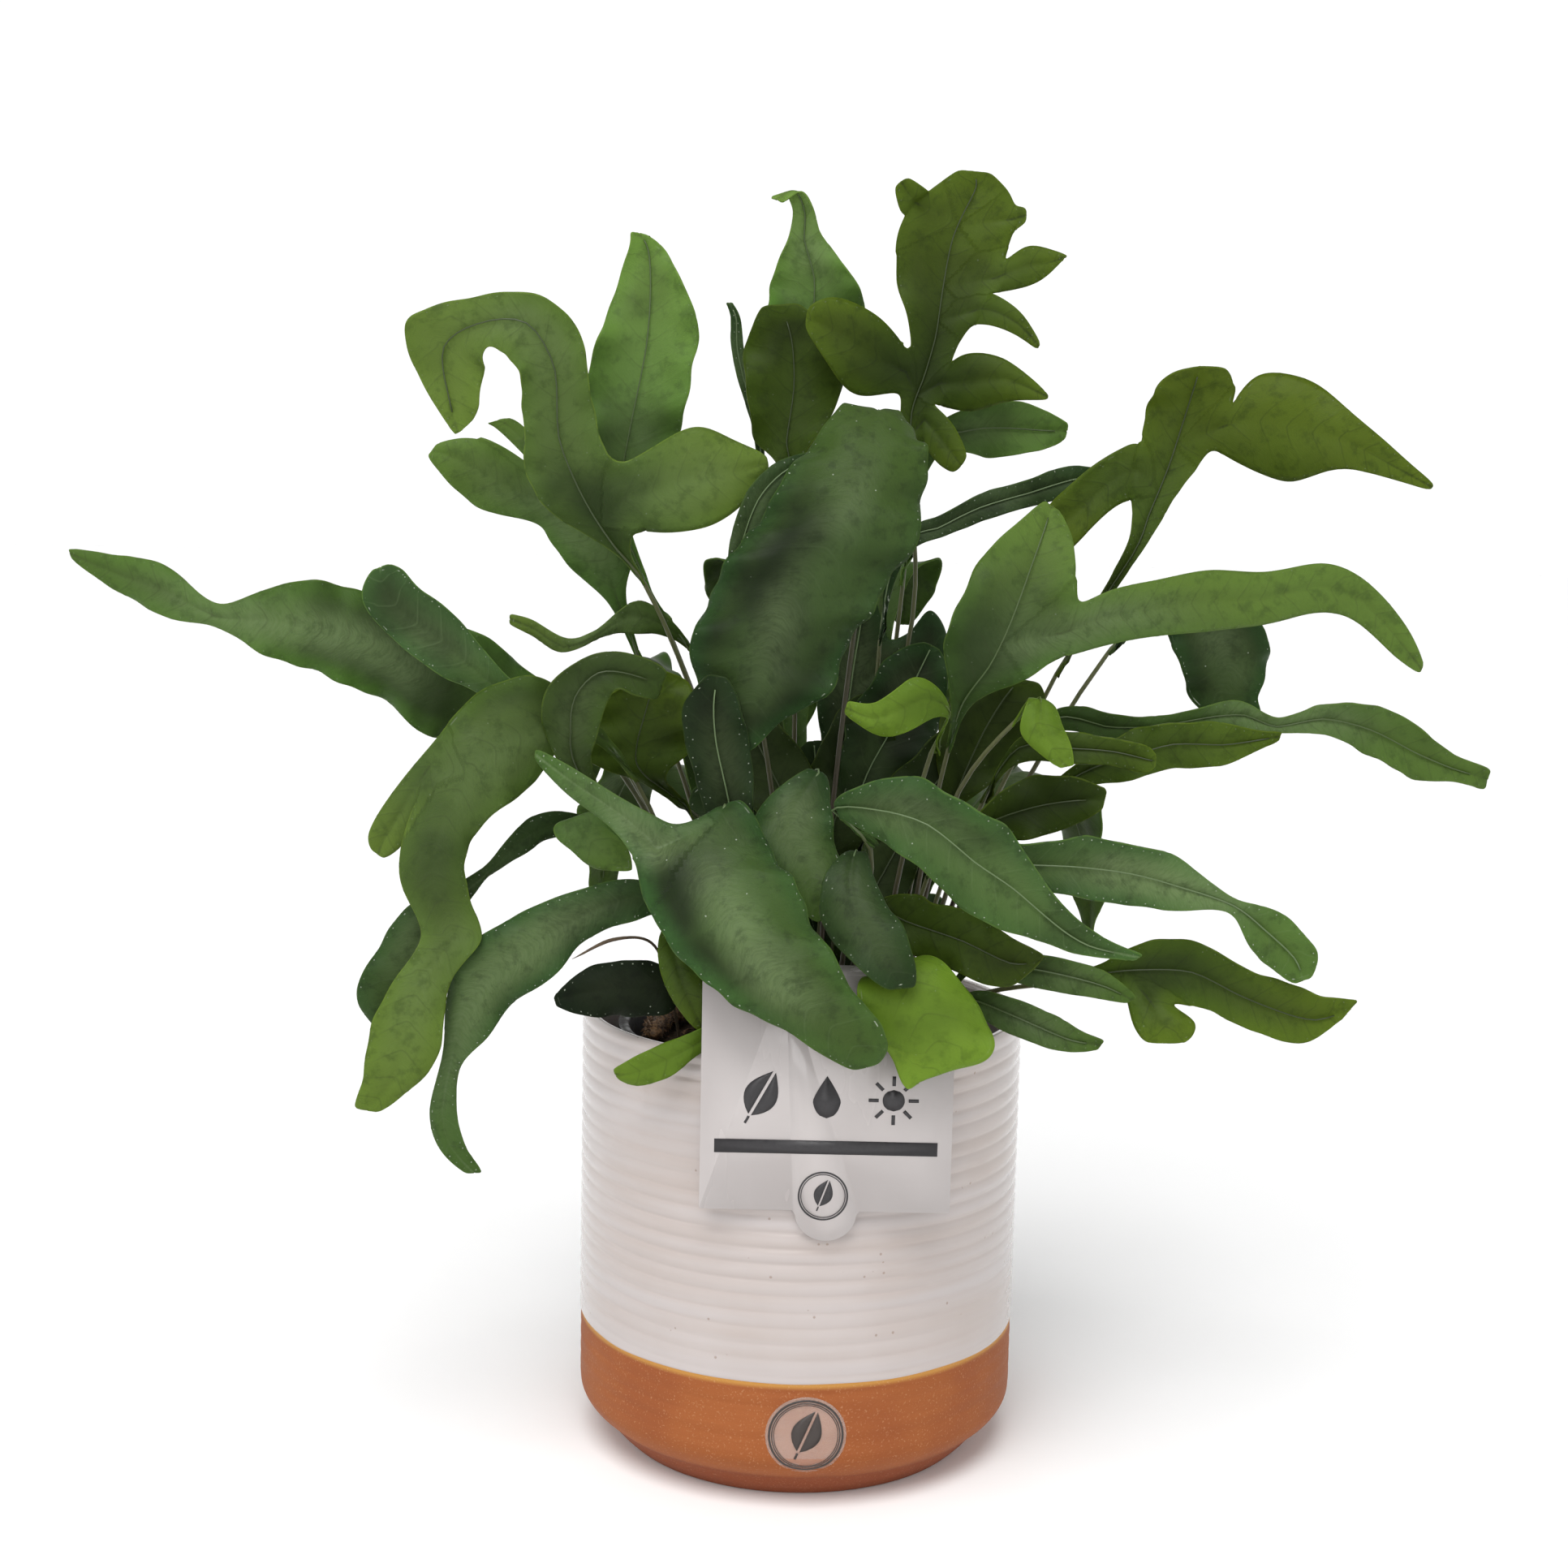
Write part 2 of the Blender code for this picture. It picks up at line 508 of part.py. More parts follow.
def back_frond(index):
    """A plain strap frond that rises behind the rest and arches away to the back."""
    azimuth = math.radians(BACK_FIRST_AZIMUTH + index * BACK_AZIMUTH_STEP)
    ring = index % 3
    reach, droop = BACK_REACH[ring] * PLANT_SPREAD, BACK_DROOP[ring]
    top = BACK_TOP[ring] + PLANT_LIFT
    foot = (BACK_BASE_RADIUS + BACK_BASE_STEP * ring) * PLANT_SPREAD
    spread = reach - foot
    out = np.array([math.cos(azimuth), math.sin(azimuth), 0.0])
    across = np.array([out[1], -out[0], 0.0])
    spine = [(foot, STEM_START_Z), (foot + 4, 0.6 * STEM_START_Z + 0.4 * top),
             (foot + 0.35 * spread, top - 12), (foot + 0.62 * spread, top),
             (foot + 0.86 * spread, top - 0.16 * droop), (reach, top - 0.55 * droop),
             (reach + 3, top - droop)]
    rows = []
    for (distance, height), half in zip(spine, BACK_HALF_WIDTHS):
        centre = out * distance + np.array([BACK_CENTRE_X * PLANT_SPREAD, 0, height])
        rows.append([*(centre + across * half), *(centre - across * half)])
    bm = bmesh.new()
    add_strip(bm, blend(rows, 2))
    bmesh.ops.recalc_face_normals(bm, faces=bm.faces)
    mesh = bpy.data.meshes.new(f"frond_back_{index + 1}")
    bm.to_mesh(mesh)
    bm.free()
    return mesh


def add_thickness(mesh, material, parts):
    leaf = bpy.data.objects.new(mesh.name, mesh)
    parts.objects.link(leaf)
    mesh.materials.append(material)
    mesh.shade_smooth()
    mesh.set_sharp_from_angle(angle=math.radians(50))
    thickness = leaf.modifiers.new("leaf thickness", "SOLIDIFY")
    thickness.thickness = LEAF_THICKNESS * MM
    thickness.offset = 0
    return leaf


def make_material(name, colour, roughness, metallic=0.0):
    material = bpy.data.materials.new(name)
    material.use_nodes = True
    shader = material.node_tree.nodes["Principled BSDF"]
    shader.inputs["Base Color"].default_value = (*colour, 1.0)
    shader.inputs["Roughness"].default_value = roughness
    shader.inputs["Metallic"].default_value = metallic
    material.diffuse_color = (*colour, 1.0)
    return material


def turned(name, profile, material, parts):
    """A body turned round the pot's axis from a profile of (radius, height) in mm."""
    mesh = bpy.data.meshes.new(name)
    points = [(radius * MM, 0.0, height * MM) for radius, height in profile]
    mesh.from_pydata(points, [(i, i + 1) for i in range(len(points) - 1)], [])
    body = bpy.data.objects.new(name, mesh)
    parts.objects.link(body)
    turn = body.modifiers.new("turn", "SCREW")
    turn.steps = TURN_STEPS
    turn.render_steps = TURN_STEPS
    turn.use_merge_vertices = True
    turn.merge_threshold = 0.00005
    mesh.materials.append(material)
    return body


def rounded_lip(inner, outer, top):
    """Half-round points over a wall's top edge, from its inside to its outside."""
    centre = (inner + outer) / 2
    half = (outer - inner) / 2
    return [(centre - half * math.cos(angle), top - LIP_ROUND + LIP_ROUND * math.sin(angle))
            for angle in np.linspace(0, math.pi, 7)]


def make_pot(parts):
    clay = make_material("glazed_clay", (0.72, 0.68, 0.64), 0.3)
    inner = POT_RADIUS - POT_WALL
    profile = [(0, POT_FLOOR), (inner - POT_INSIDE_CHAMFER, POT_FLOOR),
               (inner, POT_FLOOR + POT_INSIDE_CHAMFER)]
    profile += rounded_lip(inner, POT_RADIUS, POT_HEIGHT)
    profile += [(POT_RADIUS, SHOULDER_HEIGHT),
                (POT_RADIUS - SHOULDER_INSET, FOOT_HEIGHT + SHOULDER_RISE),
                (POT_RADIUS - FOOT_BREAK_INSET, FOOT_HEIGHT), (FOOT_RADIUS, 0), (0, 0)]
    return turned("cover_pot", profile, clay, parts)


def nursery_radius(height):
    """Outer radius of the tapered nursery pot at a height."""
    share = (height - NURSERY_FLOOR_Z) / (NURSERY_TOP_Z - NURSERY_FLOOR_Z)
    return NURSERY_FOOT_RADIUS + share * (NURSERY_TOP_RADIUS - NURSERY_FOOT_RADIUS)


def make_nursery_pot(parts):
    plastic = make_material("nursery_plastic", (0.02, 0.02, 0.02), 0.5)
    lip_z = NURSERY_TOP_Z - NURSERY_LIP_HEIGHT
    floor = NURSERY_FLOOR_Z + NURSERY_WALL
    outer = nursery_radius(lip_z)
    profile = [(0, floor), (nursery_radius(floor) - NURSERY_WALL, floor),
               (NURSERY_TOP_RADIUS - NURSERY_WALL, NURSERY_TOP_Z),
               (NURSERY_TOP_RADIUS + NURSERY_LIP, NURSERY_TOP_Z),
               (NURSERY_TOP_RADIUS + NURSERY_LIP, lip_z), (outer, lip_z),
               (NURSERY_FOOT_RADIUS, NURSERY_FLOOR_Z), (0, NURSERY_FLOOR_Z)]
    return turned("nursery_pot", profile, plastic, parts)


def make_soil(parts):
    peat = make_material("potting_mix", (0.045, 0.03, 0.02), 0.95)
    floor = NURSERY_FLOOR_Z + NURSERY_WALL + CLEARANCE
    inset = NURSERY_WALL + 2 * CLEARANCE
    edge_z = SOIL_TOP_Z - SOIL_EDGE
    profile = [(0, SOIL_TOP_Z), (nursery_radius(SOIL_TOP_Z) - inset - SOIL_EDGE, SOIL_TOP_Z),
               (nursery_radius(edge_z) - inset, edge_z),
               (nursery_radius(floor) - inset, floor), (0, floor)]
    return turned("potting_soil", profile, peat, parts)


def tube(name, points, radius, material, parts):
    """A round strand along a smooth curve through its points, with filled ends."""
    curve = bpy.data.curves.new(name, "CURVE")
    curve.dimensions = "3D"
    curve.bevel_depth = radius * MM
    curve.bevel_resolution = 2
    curve.use_fill_caps = True
    spline = curve.splines.new("POLY")
    path = blend(points, 3)
    spline.points.add(len(path) - 1)
    for knot, point in zip(spline.points, path):
        knot.co = (*(Vector(point) * MM), 1.0)
    strand = bpy.data.objects.new(name, curve)
    parts.objects.link(strand)
    curve.materials.append(material)
    return strand


def make_label(parts):
    """A flat card in front of the pot, folded over the rim to a leg inside it."""
    gloss = make_material("label_plastic", (0.8, 0.8, 0.8), 0.25)
    inner_face = -(POT_RADIUS + LABEL_GAP)
    bottom = POT_HEIGHT - LABEL_BELOW_RIM
    top = POT_HEIGHT + LABEL_ABOVE_RIM
    left = LABEL_CENTRE_X - LABEL_WIDTH / 2
    right = LABEL_CENTRE_X + LABEL_WIDTH / 2
    leg_left = LABEL_CENTRE_X - LABEL_LEG_WIDTH / 2
    leg_right = LABEL_CENTRE_X + LABEL_LEG_WIDTH / 2
    leg_reach = POT_RADIUS - POT_WALL - LABEL_GAP
    leg_face = -math.sqrt(leg_reach ** 2 - leg_right ** 2)
    tab = [(LABEL_CENTRE_X + LABEL_TAB_OFFSET + LABEL_TAB_RADIUS * math.sin(angle),
            bottom - LABEL_TAB_RADIUS * math.cos(angle))
           for angle in np.linspace(-math.pi / 2, math.pi / 2, TAB_POINTS)]
    bm = bmesh.new()
    corners = [(left, top), (left, bottom), *tab, (right, bottom), (right, top),
               (leg_right, top), (leg_left, top)]
    card = [bm.verts.new(Vector((x, inner_face, z)) * MM) for x, z in corners]
    bm.faces.new(card)
    leg_bottom = POT_HEIGHT - LABEL_LEG_BELOW_RIM
    sections = [((inner_face + leg_face) / 2, top + LABEL_FOLD_DROP), (leg_face, top),
                (leg_face, leg_bottom)]
    edge = [card[-1], card[-2]]
    for y, z in sections:
        row = [bm.verts.new(Vector((x, y, z)) * MM) for x in (leg_left, leg_right)]
        bm.faces.new((edge[0], edge[1], row[1], row[0]))
        edge = row
    bmesh.ops.recalc_face_normals(bm, faces=bm.faces)
    mesh = bpy.data.meshes.new("plant_label")
    bm.to_mesh(mesh)
    bm.free()
    mesh.materials.append(gloss)
    label = bpy.data.objects.new("plant_label", mesh)
    parts.objects.link(label)
    sheet = label.modifiers.new("sheet thickness", "SOLIDIFY")
    sheet.thickness = LABEL_THICKNESS * MM
    sheet.offset = 0
    return label


def wall_radius(height):
    """Outer radius of the cover pot's wall at a height above its foot break."""
    return np.interp(height, (FOOT_HEIGHT + SHOULDER_RISE, SHOULDER_HEIGHT),
                     (POT_RADIUS - SHOULDER_INSET, POT_RADIUS))


def make_sticker(parts):
    """A round film wrapped on the front of the pot."""
    film = make_material("clear_film", (0.75, 0.7, 0.65), 0.2)
    bm = bmesh.new()
    bmesh.ops.create_grid(bm, x_segments=8, y_segments=8, size=1.0)
    for vertex in bm.verts:
        across, up = vertex.co.x, vertex.co.y
        round_x = across * math.sqrt(1 - up * up / 2) * STICKER_RADIUS
        round_z = up * math.sqrt(1 - across * across / 2) * STICKER_RADIUS
        wrap_radius = wall_radius(STICKER_HEIGHT + round_z) + STICKER_GAP
        angle = (STICKER_X + round_x) / POT_RADIUS
        vertex.co = Vector((wrap_radius * math.sin(angle), -wrap_radius * math.cos(angle),
                            STICKER_HEIGHT + round_z)) * MM
    bmesh.ops.recalc_face_normals(bm, faces=bm.faces)
    if sum(face.normal.y for face in bm.faces) > 0:
        bmesh.ops.reverse_faces(bm, faces=bm.faces)
    mesh = bpy.data.meshes.new("round_sticker")
    bm.to_mesh(mesh)
    bm.free()
    mesh.materials.append(film)
    sticker = bpy.data.objects.new("round_sticker", mesh)
    parts.objects.link(sticker)
    sheet = sticker.modifiers.new("film thickness", "SOLIDIFY")
    sheet.thickness = STICKER_THICKNESS * MM
    sheet.offset = 1
    return sticker


def main():
    for thing in list(bpy.data.objects):
        bpy.data.objects.remove(thing, do_unlink=True)
    parts = bpy.data.collections.new("potted_fern")
    bpy.context.scene.collection.children.link(parts)
    make_pot(parts)
    make_nursery_pot(parts)
    make_soil(parts)
    make_label(parts)
    make_sticker(parts)
    scales = make_material("rhizome_scales", (0.35, 0.2, 0.09), 0.9)
    rest = SOIL_TOP_Z + RHIZOME_RADIUS + CLEARANCE
    route = [(*around_rim(x, y, 0)[:2], rest) for x, y in RHIZOME_ROUTE]
    tube("rhizome", route, RHIZOME_RADIUS, scales, parts)
    dry = make_material("dried_stem", (0.16, 0.11, 0.07), 0.8)
    dry_base = (*around_rim(*DRIED_STEM[0], 0)[:2], STEM_START_Z + 1)
    tube("dried_stem", [dry_base] + [around_rim(*point) for point in DRIED_STEM[1:]],
         DRIED_STEM_RADIUS, dry, parts)
    finishes = {name: make_material(name, colour, LEAF_ROUGHNESS)
                for name, colour in LEAF_COLOURS.items()}
    finish_of = {f"frond_{short}": finishes[name]
                 for name, group in LEAF_GROUPS.items() for short in group}
    for name, (stem, blade, lobes) in FRONDS.items():
        finish = finish_of.get(name, finishes["leaf_glaucous"])
        add_thickness(frond_mesh(name, stem, blade, lobes), finish, parts)
    for index in range(BACK_COUNT):
        add_thickness(back_frond(index), finishes["leaf_fresh"], parts)


main()
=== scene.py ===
"""A potted fern, dressed for rendering: wavy glaucous strap fronds in a ribbed, half-glazed pot.

Tables and sizes are in millimetres; objects are in metres, +Z up, front towards -Y.
"""

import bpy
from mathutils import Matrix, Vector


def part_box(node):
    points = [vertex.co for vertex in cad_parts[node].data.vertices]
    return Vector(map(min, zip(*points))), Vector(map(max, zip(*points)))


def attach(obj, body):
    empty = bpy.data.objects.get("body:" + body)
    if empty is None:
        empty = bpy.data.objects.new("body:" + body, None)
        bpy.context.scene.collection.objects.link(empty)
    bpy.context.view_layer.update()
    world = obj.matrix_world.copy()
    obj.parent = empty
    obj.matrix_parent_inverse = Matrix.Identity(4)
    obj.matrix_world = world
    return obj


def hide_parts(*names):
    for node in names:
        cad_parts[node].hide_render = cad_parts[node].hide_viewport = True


bl_info = {
    "name": "Potted Fern",
    "version": (1, 0, 0),
    "blender": (4, 5, 0),
    "location": "3D View > Sidebar > Fern",
    "description": "Builds a strap-leaved fern in a ribbed, half-glazed pot, with its studio",
    "category": "Object",
}

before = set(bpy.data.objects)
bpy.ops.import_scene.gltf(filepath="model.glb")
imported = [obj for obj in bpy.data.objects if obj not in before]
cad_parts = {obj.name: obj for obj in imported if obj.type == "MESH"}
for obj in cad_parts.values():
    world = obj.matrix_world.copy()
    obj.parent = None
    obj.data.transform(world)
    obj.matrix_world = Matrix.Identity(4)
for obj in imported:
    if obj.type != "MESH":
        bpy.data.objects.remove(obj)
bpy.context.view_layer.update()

import math
import zlib
from functools import partialmethod

import bmesh
import bpy
import numpy as np
from bpy.props import FloatProperty, FloatVectorProperty, IntProperty, PointerProperty
from mathutils import Matrix, Vector, noise
from numpy.linalg import norm

MM = 0.001
POT_LOW, POT_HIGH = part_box("cover_pot")
POT_HEIGHT = POT_HIGH[2] / MM
POT_RADIUS = (POT_HIGH[0] - POT_LOW[0]) / 2 / MM
SOIL_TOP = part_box("potting_soil")[1][2] / MM
NURSERY_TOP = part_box("nursery_pot")[1][2] / MM
NURSERY_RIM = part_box("nursery_pot")[1][0] / MM
STALK_START = SOIL_TOP - 2.0
POT_WALL = 4.5
LABEL_DROP = 46.0  # from the rim down to the card's bottom edge
LABEL_LEG = 30.0  # from the rim down to the end of the leg inside the pot
TAB_RADIUS = 9.4
TAB_OFFSET = 0.4  # the tab's middle, to the right of the card's middle
STICKER_X = 3.4
HALF_STALK = 0.9
BLADE_FULLNESS = 1.08  # how much wider a blade is than its rows in the table
ROW_STEPS = 2  # pieces of a blade between two of its rows
LOBE_VEIN_START = 200.0  # keeps a lobe's pattern of veins apart from its blade's
LARGE_BLADE = 13.0  # a blade wider than this is subdivided once more
PAINTED_SHADE_LIMIT = 0.6  # a frond with less painted light than this, painted into shade, is passed the slot name leaf_dark
BACK_FRONDS = 8

# ---- the fronds ----
# "name": (finish, how young and yellow, painted light and shade as a brightness factor, stem points, blade
# rows, lobes). A negative youth makes the base young and not the tip. Stem points are (x, y, z), and start
# with the (x, y) at the soil. Blade rows are (left x, left z, right x, right z, y) from base to tip. A
# lobe is (the blade row it grows from, its side, its own rows with the near edge first).
FRONDS = {
    "front_drape": (
        "glaucous", 0.4, 0.88, [(-14, -26), (-20, -36, 170), (-24, -49, 200), (-26, -57, 214)],
        [(-30, 217, -20, 221, -63), (-46, 206, -13, 208, -68), (-48, 196, -6, 198, -76),
         (-40, 183, 1, 188, -84), (-28, 171, 7, 178, -89), (-13, 162, 16, 166, -92), (3, 154, 24, 156, -94),
         (14, 147, 22, 149, -93)],
        (1, "left", [(-52, 219, -57, 212, -67), (-68, 228, -71, 221, -63), (-82, 235, -82, 231, -60)])),
    "front_star": (
        "lime", 0.5, 1.0, [(18, -36), (25, -50, 158), (30, -62, 170)],
        [(26, 173, 34, 175, -70), (17, 169, 46, 172, -79), (20, 159, 52, 161, -82), (26, 149, 54, 152, -84),
         (29, 142, 46, 146, -84), (31, 139, 36, 143, -84)]),
    "front_dark": (
        "glaucous", 0.0, 0.45, [(8, -36), (12, -42, 170), (15, -54, 197)],
        [(12, 207, 17, 206, -63), (5, 198, 20, 199, -71), (5, 187, 25, 189, -79), (13, 178, 31, 179, -86),
         (24, 170, 32, 171, -89)]),
    "front_tongue": (
        "glaucous", 0.7, 0.65, [(-4, -28), (-3, -34, 180), (0, -42, 222)],
        [(0, 228, 6, 227, -48), (-14, 219, 6, 216, -53), (-16, 209, 8, 206, -57), (-10, 201, 11, 200, -61),
         (-4, 191, 9, 191, -65), (3, 185, 7, 186, -66)]),
    "front_oblong": (
        "glaucous", 0.0, 0.27, [(-7, -18), (-14, -30, 170), (-21, -42, 196)],
        [(-28, 206, -18, 208, -48), (-32, 220, -16.5, 218, -51), (-37, 236, -19, 236, -55),
         (-37, 249, -21, 248, -58), (-31, 258, -25, 257, -58)]),
    "front_right": (
        "glaucous", 0.15, 1.0, [(12, -36), (17, -46, 175), (19, -58, 206)],
        [(6, 220, 8, 217, -64), (19, 229, 20, 212, -74), (36, 229, 33, 206, -81), (51, 221, 45, 194, -84),
         (62, 211, 58, 188, -84), (74, 195, 70, 184, -83), (86, 185, 80, 180, -81),
         (99, 180, 97, 178, -79)]),
    "right_arching": (
        "glaucous", 0.6, 1.0, [(28, -32), (31, -40, 165), (37, -48, 196)],
        [(44, 208, 45, 202, -54), (60, 209, 59, 197, -61), (80, 211, 77, 195, -64), (98, 210, 96, 192, -63),
         (115, 203, 112, 190, -61), (129, 193, 128, 190, -60), (143, 189, 134, 179, -58),
         (155, 178, 142, 172, -57), (154, 169, 149, 167, -57)]),
    "right_wavy": (
        "olive", 0.5, 1.25, [(42, -6), (54, -22, 152), (72, -40, 161)],
        [(91, 170, 92, 165, -50), (103, 178, 104, 161, -53), (118, 179, 118, 160, -55),
         (133, 171, 129, 156, -55), (147, 166, 142, 150, -54), (159, 162, 155, 148, -53),
         (170, 161, 166, 156, -52)],
        (1, "right", [(101, 153, 119, 154, -57), (105, 148, 116, 148, -58)])),
    "right_low": (
        "fresh", 0.4, 0.65, [(40, -26), (45, -38, 150)],
        [(50, 160, 49, 156, -48), (60, 162, 58, 152, -56), (72, 158, 70, 148, -61), (82, 153, 80, 146, -63),
         (91, 150, 89, 147, -64)]),
    "right_tongue": (
        "fresh", 0.4, 0.65, [(40, -16), (46, -32, 156)],
        [(52, 171, 52, 167, -48), (66, 175, 64, 166, -57), (80, 174, 79, 164, -62), (92, 170, 90, 163, -65),
         (100, 164, 97, 162, -66)]),
    "right_skirt": (
        "olive", 0.2, 0.85, [(24, -28), (27, -37, 165), (25, -46, 182)],
        [(23, 190, 22, 184, -52), (32, 192, 28, 177, -60), (48, 189, 46, 171, -66), (62, 182, 60, 167, -70),
         (71, 177, 69, 174, -71)]),
    "left_rim": (
        "glaucous", 0.0, 0.1, [(-30, -22), (-34, -38, 150)],
        [(-36, 163, -37, 157, -50), (-43, 168, -42, 154, -55), (-55, 170, -55, 153, -58),
         (-67, 167, -67, 154, -59), (-76, 159, -75, 156, -60)]),
    "left_spur": (
        "olive", 0.4, 1.1, [(-16, -32), (-26, -46, 162), (-36, -55, 178)],
        [(-43, 181, -39, 181, -57), (-44, 171, -34, 171, -62), (-40, 160, -30, 162, -65),
         (-32, 151, -29, 152, -66)]),
    "left_lime": (
        "lime", 0.5, 0.75, [(-10, -38), (-14, -52, 152)],
        [(-20, 156, -20, 152, -62), (-33, 151, -32, 144, -69), (-43, 147, -42, 137, -70),
         (-52, 142, -51, 134, -69), (-57, 139, -56, 136, -68)]),
    "left_long": (
        "glaucous", 0.45, 0.75, [(-26, -28), (-30, -38, 162), (-35, -47, 180)],
        [(-40, 189, -38, 184, -51), (-54, 195, -50, 184, -55), (-72, 190, -66, 177, -58),
         (-90, 182, -78, 165, -60), (-103, 172, -89, 156, -60), (-109, 158, -98, 145, -60),
         (-109, 140, -105, 136, -59), (-114, 123, -106, 121, -58), (-112, 111, -103, 110, -57),
         (-103, 102, -98, 102, -56)]),
    "left_wavy": (
        "moss", 0.6, 1.25, [(-30, -8), (-38, -18, 180), (-54, -32, 222)],
        [(-70, 246, -71, 238, -44), (-86, 255, -84, 223, -50), (-104, 247, -94, 217, -54),
         (-113, 228, -101, 208, -57), (-121, 208, -104, 198, -60), (-121, 192, -101, 186, -62),
         (-114, 178, -97, 177, -64), (-122, 166, -107, 166, -66), (-130, 150, -109, 150, -66),
         (-132, 134, -114, 135, -65), (-136, 124, -128, 123, -64)],
        (3, "left", [(-125, 220, -118, 212, -54), (-133, 207, -124, 203, -52),
         (-132, 201, -129, 199, -51)])),
    "far_left": (
        "fresh", 0.3, 0.85, [(-34, 4), (-44, -2, 190), (-64, -10, 230)],
        [(-84, 250, -86, 240, -20), (-100, 263, -108, 232, -26), (-118, 270, -124, 239, -31),
         (-136, 278, -138, 250, -35), (-152, 281, -153, 255, -38), (-168, 279, -168, 261, -40),
         (-181, 273, -182, 268, -40), (-196, 285, -196, 270, -38), (-212, 288, -212, 277, -36),
         (-228, 290, -227, 287, -34)]),
    "left_blue": (
        "glaucous", 0.0, 1.3, [(-22, 8), (-42, -8, 190), (-68, -24, 234)],
        [(-90, 250, -95, 245, -36), (-100, 262, -107, 252, -41), (-108, 272, -118, 259, -44),
         (-119, 280, -130, 268, -45), (-124, 286, -136, 278, -45), (-128, 288, -133, 286, -45)]),
    "left_grey": (
        "glaucous", 0.2, 0.6, [(-28, 14), (-40, -4, 176), (-58, -20, 200)],
        [(-76, 212, -78, 204, -32), (-90, 207, -93, 196, -38), (-99, 195, -101, 189, -43),
         (-110, 189, -106, 182, -46), (-122, 183, -110, 172, -48), (-131, 170, -114, 160, -50),
         (-137, 155, -122, 148, -51), (-132, 146, -128, 144, -51)]),
    "left_hook": (
        "moss", 0.0, 0.75, [(-18, -2), (-36, -18, 172), (-58, -35, 206)],
        [(-74, 226, -67, 228, -48), (-80, 240, -64, 238, -54), (-79, 252, -62, 248, -57),
         (-68, 262, -59, 253, -57), (-54, 263, -54, 251, -55), (-43, 258, -46, 249, -52)]),
    "left_fan": (
        "olive", 0.3, 1.0, [(-8, 12), (-16, 2, 176), (-34, -10, 206)],
        [(-54, 221, -46, 222, -26), (-70, 228, -38, 230, -29), (-68, 240, -35, 242, -31),
         (-60, 250, -38, 251, -31), (-52, 256, -46, 256, -31)]),
    "bird": (
        "moss", 0.5, 1.35, [(-11, -8), (-22, -11, 200), (-38, -16, 250), (-52, -24, 282)],
        [(-64, 294, -57, 292, -29), (-84, 307, -56, 308, -33), (-88, 324, -68, 330, -36),
         (-88, 341, -70, 352, -38), (-93, 352, -82, 369, -40), (-100, 353, -105, 367, -38),
         (-102, 345, -124, 361, -35), (-103, 335, -121, 345, -34), (-108, 328, -110, 327, -33)],
        (1, "right", [(-44, 300, -48, 324, -34), (-32, 302, -37, 330, -35), (-22, 308, -26, 327, -34),
         (-14, 318, -15, 323, -32)])),
    "upright_left": (
        "fresh", 0.4, 1.25, [(-6, 18), (-22, 10, 200), (-44, 0, 262)],
        [(-64, 303, -60, 303, -10), (-71, 318, -50, 316, -11), (-72, 336, -42, 336, -10),
         (-69, 354, -38, 357, -8), (-63, 372, -42, 374, -6), (-59, 386, -48, 385, -4),
         (-59, 391, -54, 390, -4)]),
    "left_high": (
        "fresh", 0.6, 0.95, [(-20, 22), (-36, 18, 200), (-54, 8, 252)],
        [(-61, 278, -65, 274, 6), (-57, 291, -74, 282, 8), (-67, 301, -84, 293, 10),
         (-82, 310, -89, 300, 11), (-96, 320, -106, 303, 12), (-110, 326, -117, 311, 12),
         (-122, 324, -125, 320, 12)],
        (3, "left", [(-92, 328, -102, 329, 14), (-99, 333, -106, 331, 14)])),
    "top": (
        "olive", 0.5, 1.0, [(10, 16), (22, 24, 200), (34, 24, 270), (33, 21, 302)],
        [(30, 322, 34, 322, 20), (28, 338, 35, 336, 20), (30, 350, 40, 346, 20), (31, 362, 46, 360, 20),
         (28, 374, 52, 371, 20), (26, 386, 57, 381, 21), (27, 396, 60, 391, 22), (32, 404, 62, 400, 23),
         (40, 411, 61, 408, 24), (45, 415, 55, 414.5, 24)],
        (1, "right", [(40, 322, 45, 333, 17), (46, 318, 50, 323, 15)]),
        (2, "left", [(14, 343, 20, 367, 16), (4, 352, 6, 373, 14), (-4, 363, -3, 370, 13)]),
        (2, "right", [(50, 338, 49, 356, 17), (62, 342, 61, 355, 14), (75, 342, 75, 344, 12)]),
        (4, "right", [(56, 366, 59, 374, 17), (64, 363, 66, 369, 14), (71, 358, 72, 360, 12)]),
        (5, "right", [(66, 378, 67, 391, 20), (73, 381, 74, 390, 18), (79, 387, 80, 388, 16)]),
        (7, "left", [(26, 402, 34, 408, 20), (24, 409, 28, 412, 19)]),
        (7, "right", [(67, 399, 67, 403, 22)])),
    "pale_right": (
        "fresh", 0.2, 1.15, [(16, 28), (24, 36, 200), (31, 36, 280)],
        [(36, 326, 38, 321, 33), (49, 338, 50, 325, 35), (63, 342, 63, 324, 37), (76, 339, 76, 326, 38),
         (85, 335, 84, 330, 38)]),
    "upright_dark": (
        "olive", 0.1, 0.8, [(-2, 24), (-4, 29, 200), (-5, 28, 280)],
        [(-10, 318, -5, 318, 25), (-19, 327, 1, 328, 25), (-22, 343, 8, 345, 26), (-22, 359, 6, 361, 27),
         (-18, 371, -6, 372, 28)]),
    "curled_pale": (
        "fresh", 0.7, 1.15, [(8, 28), (6, 33, 220), (0, 35, 310)],
        [(-6, 352, 6, 352, 37), (-16, 366, 14, 368, 38), (-14, 380, 12, 382, 39), (-10, 393, 1, 393, 39),
         (-8, 402, -1, 401, 38), (-11, 408, -5, 409, 35), (-16, 406, -12, 404, 31)]),
    "sliver": (
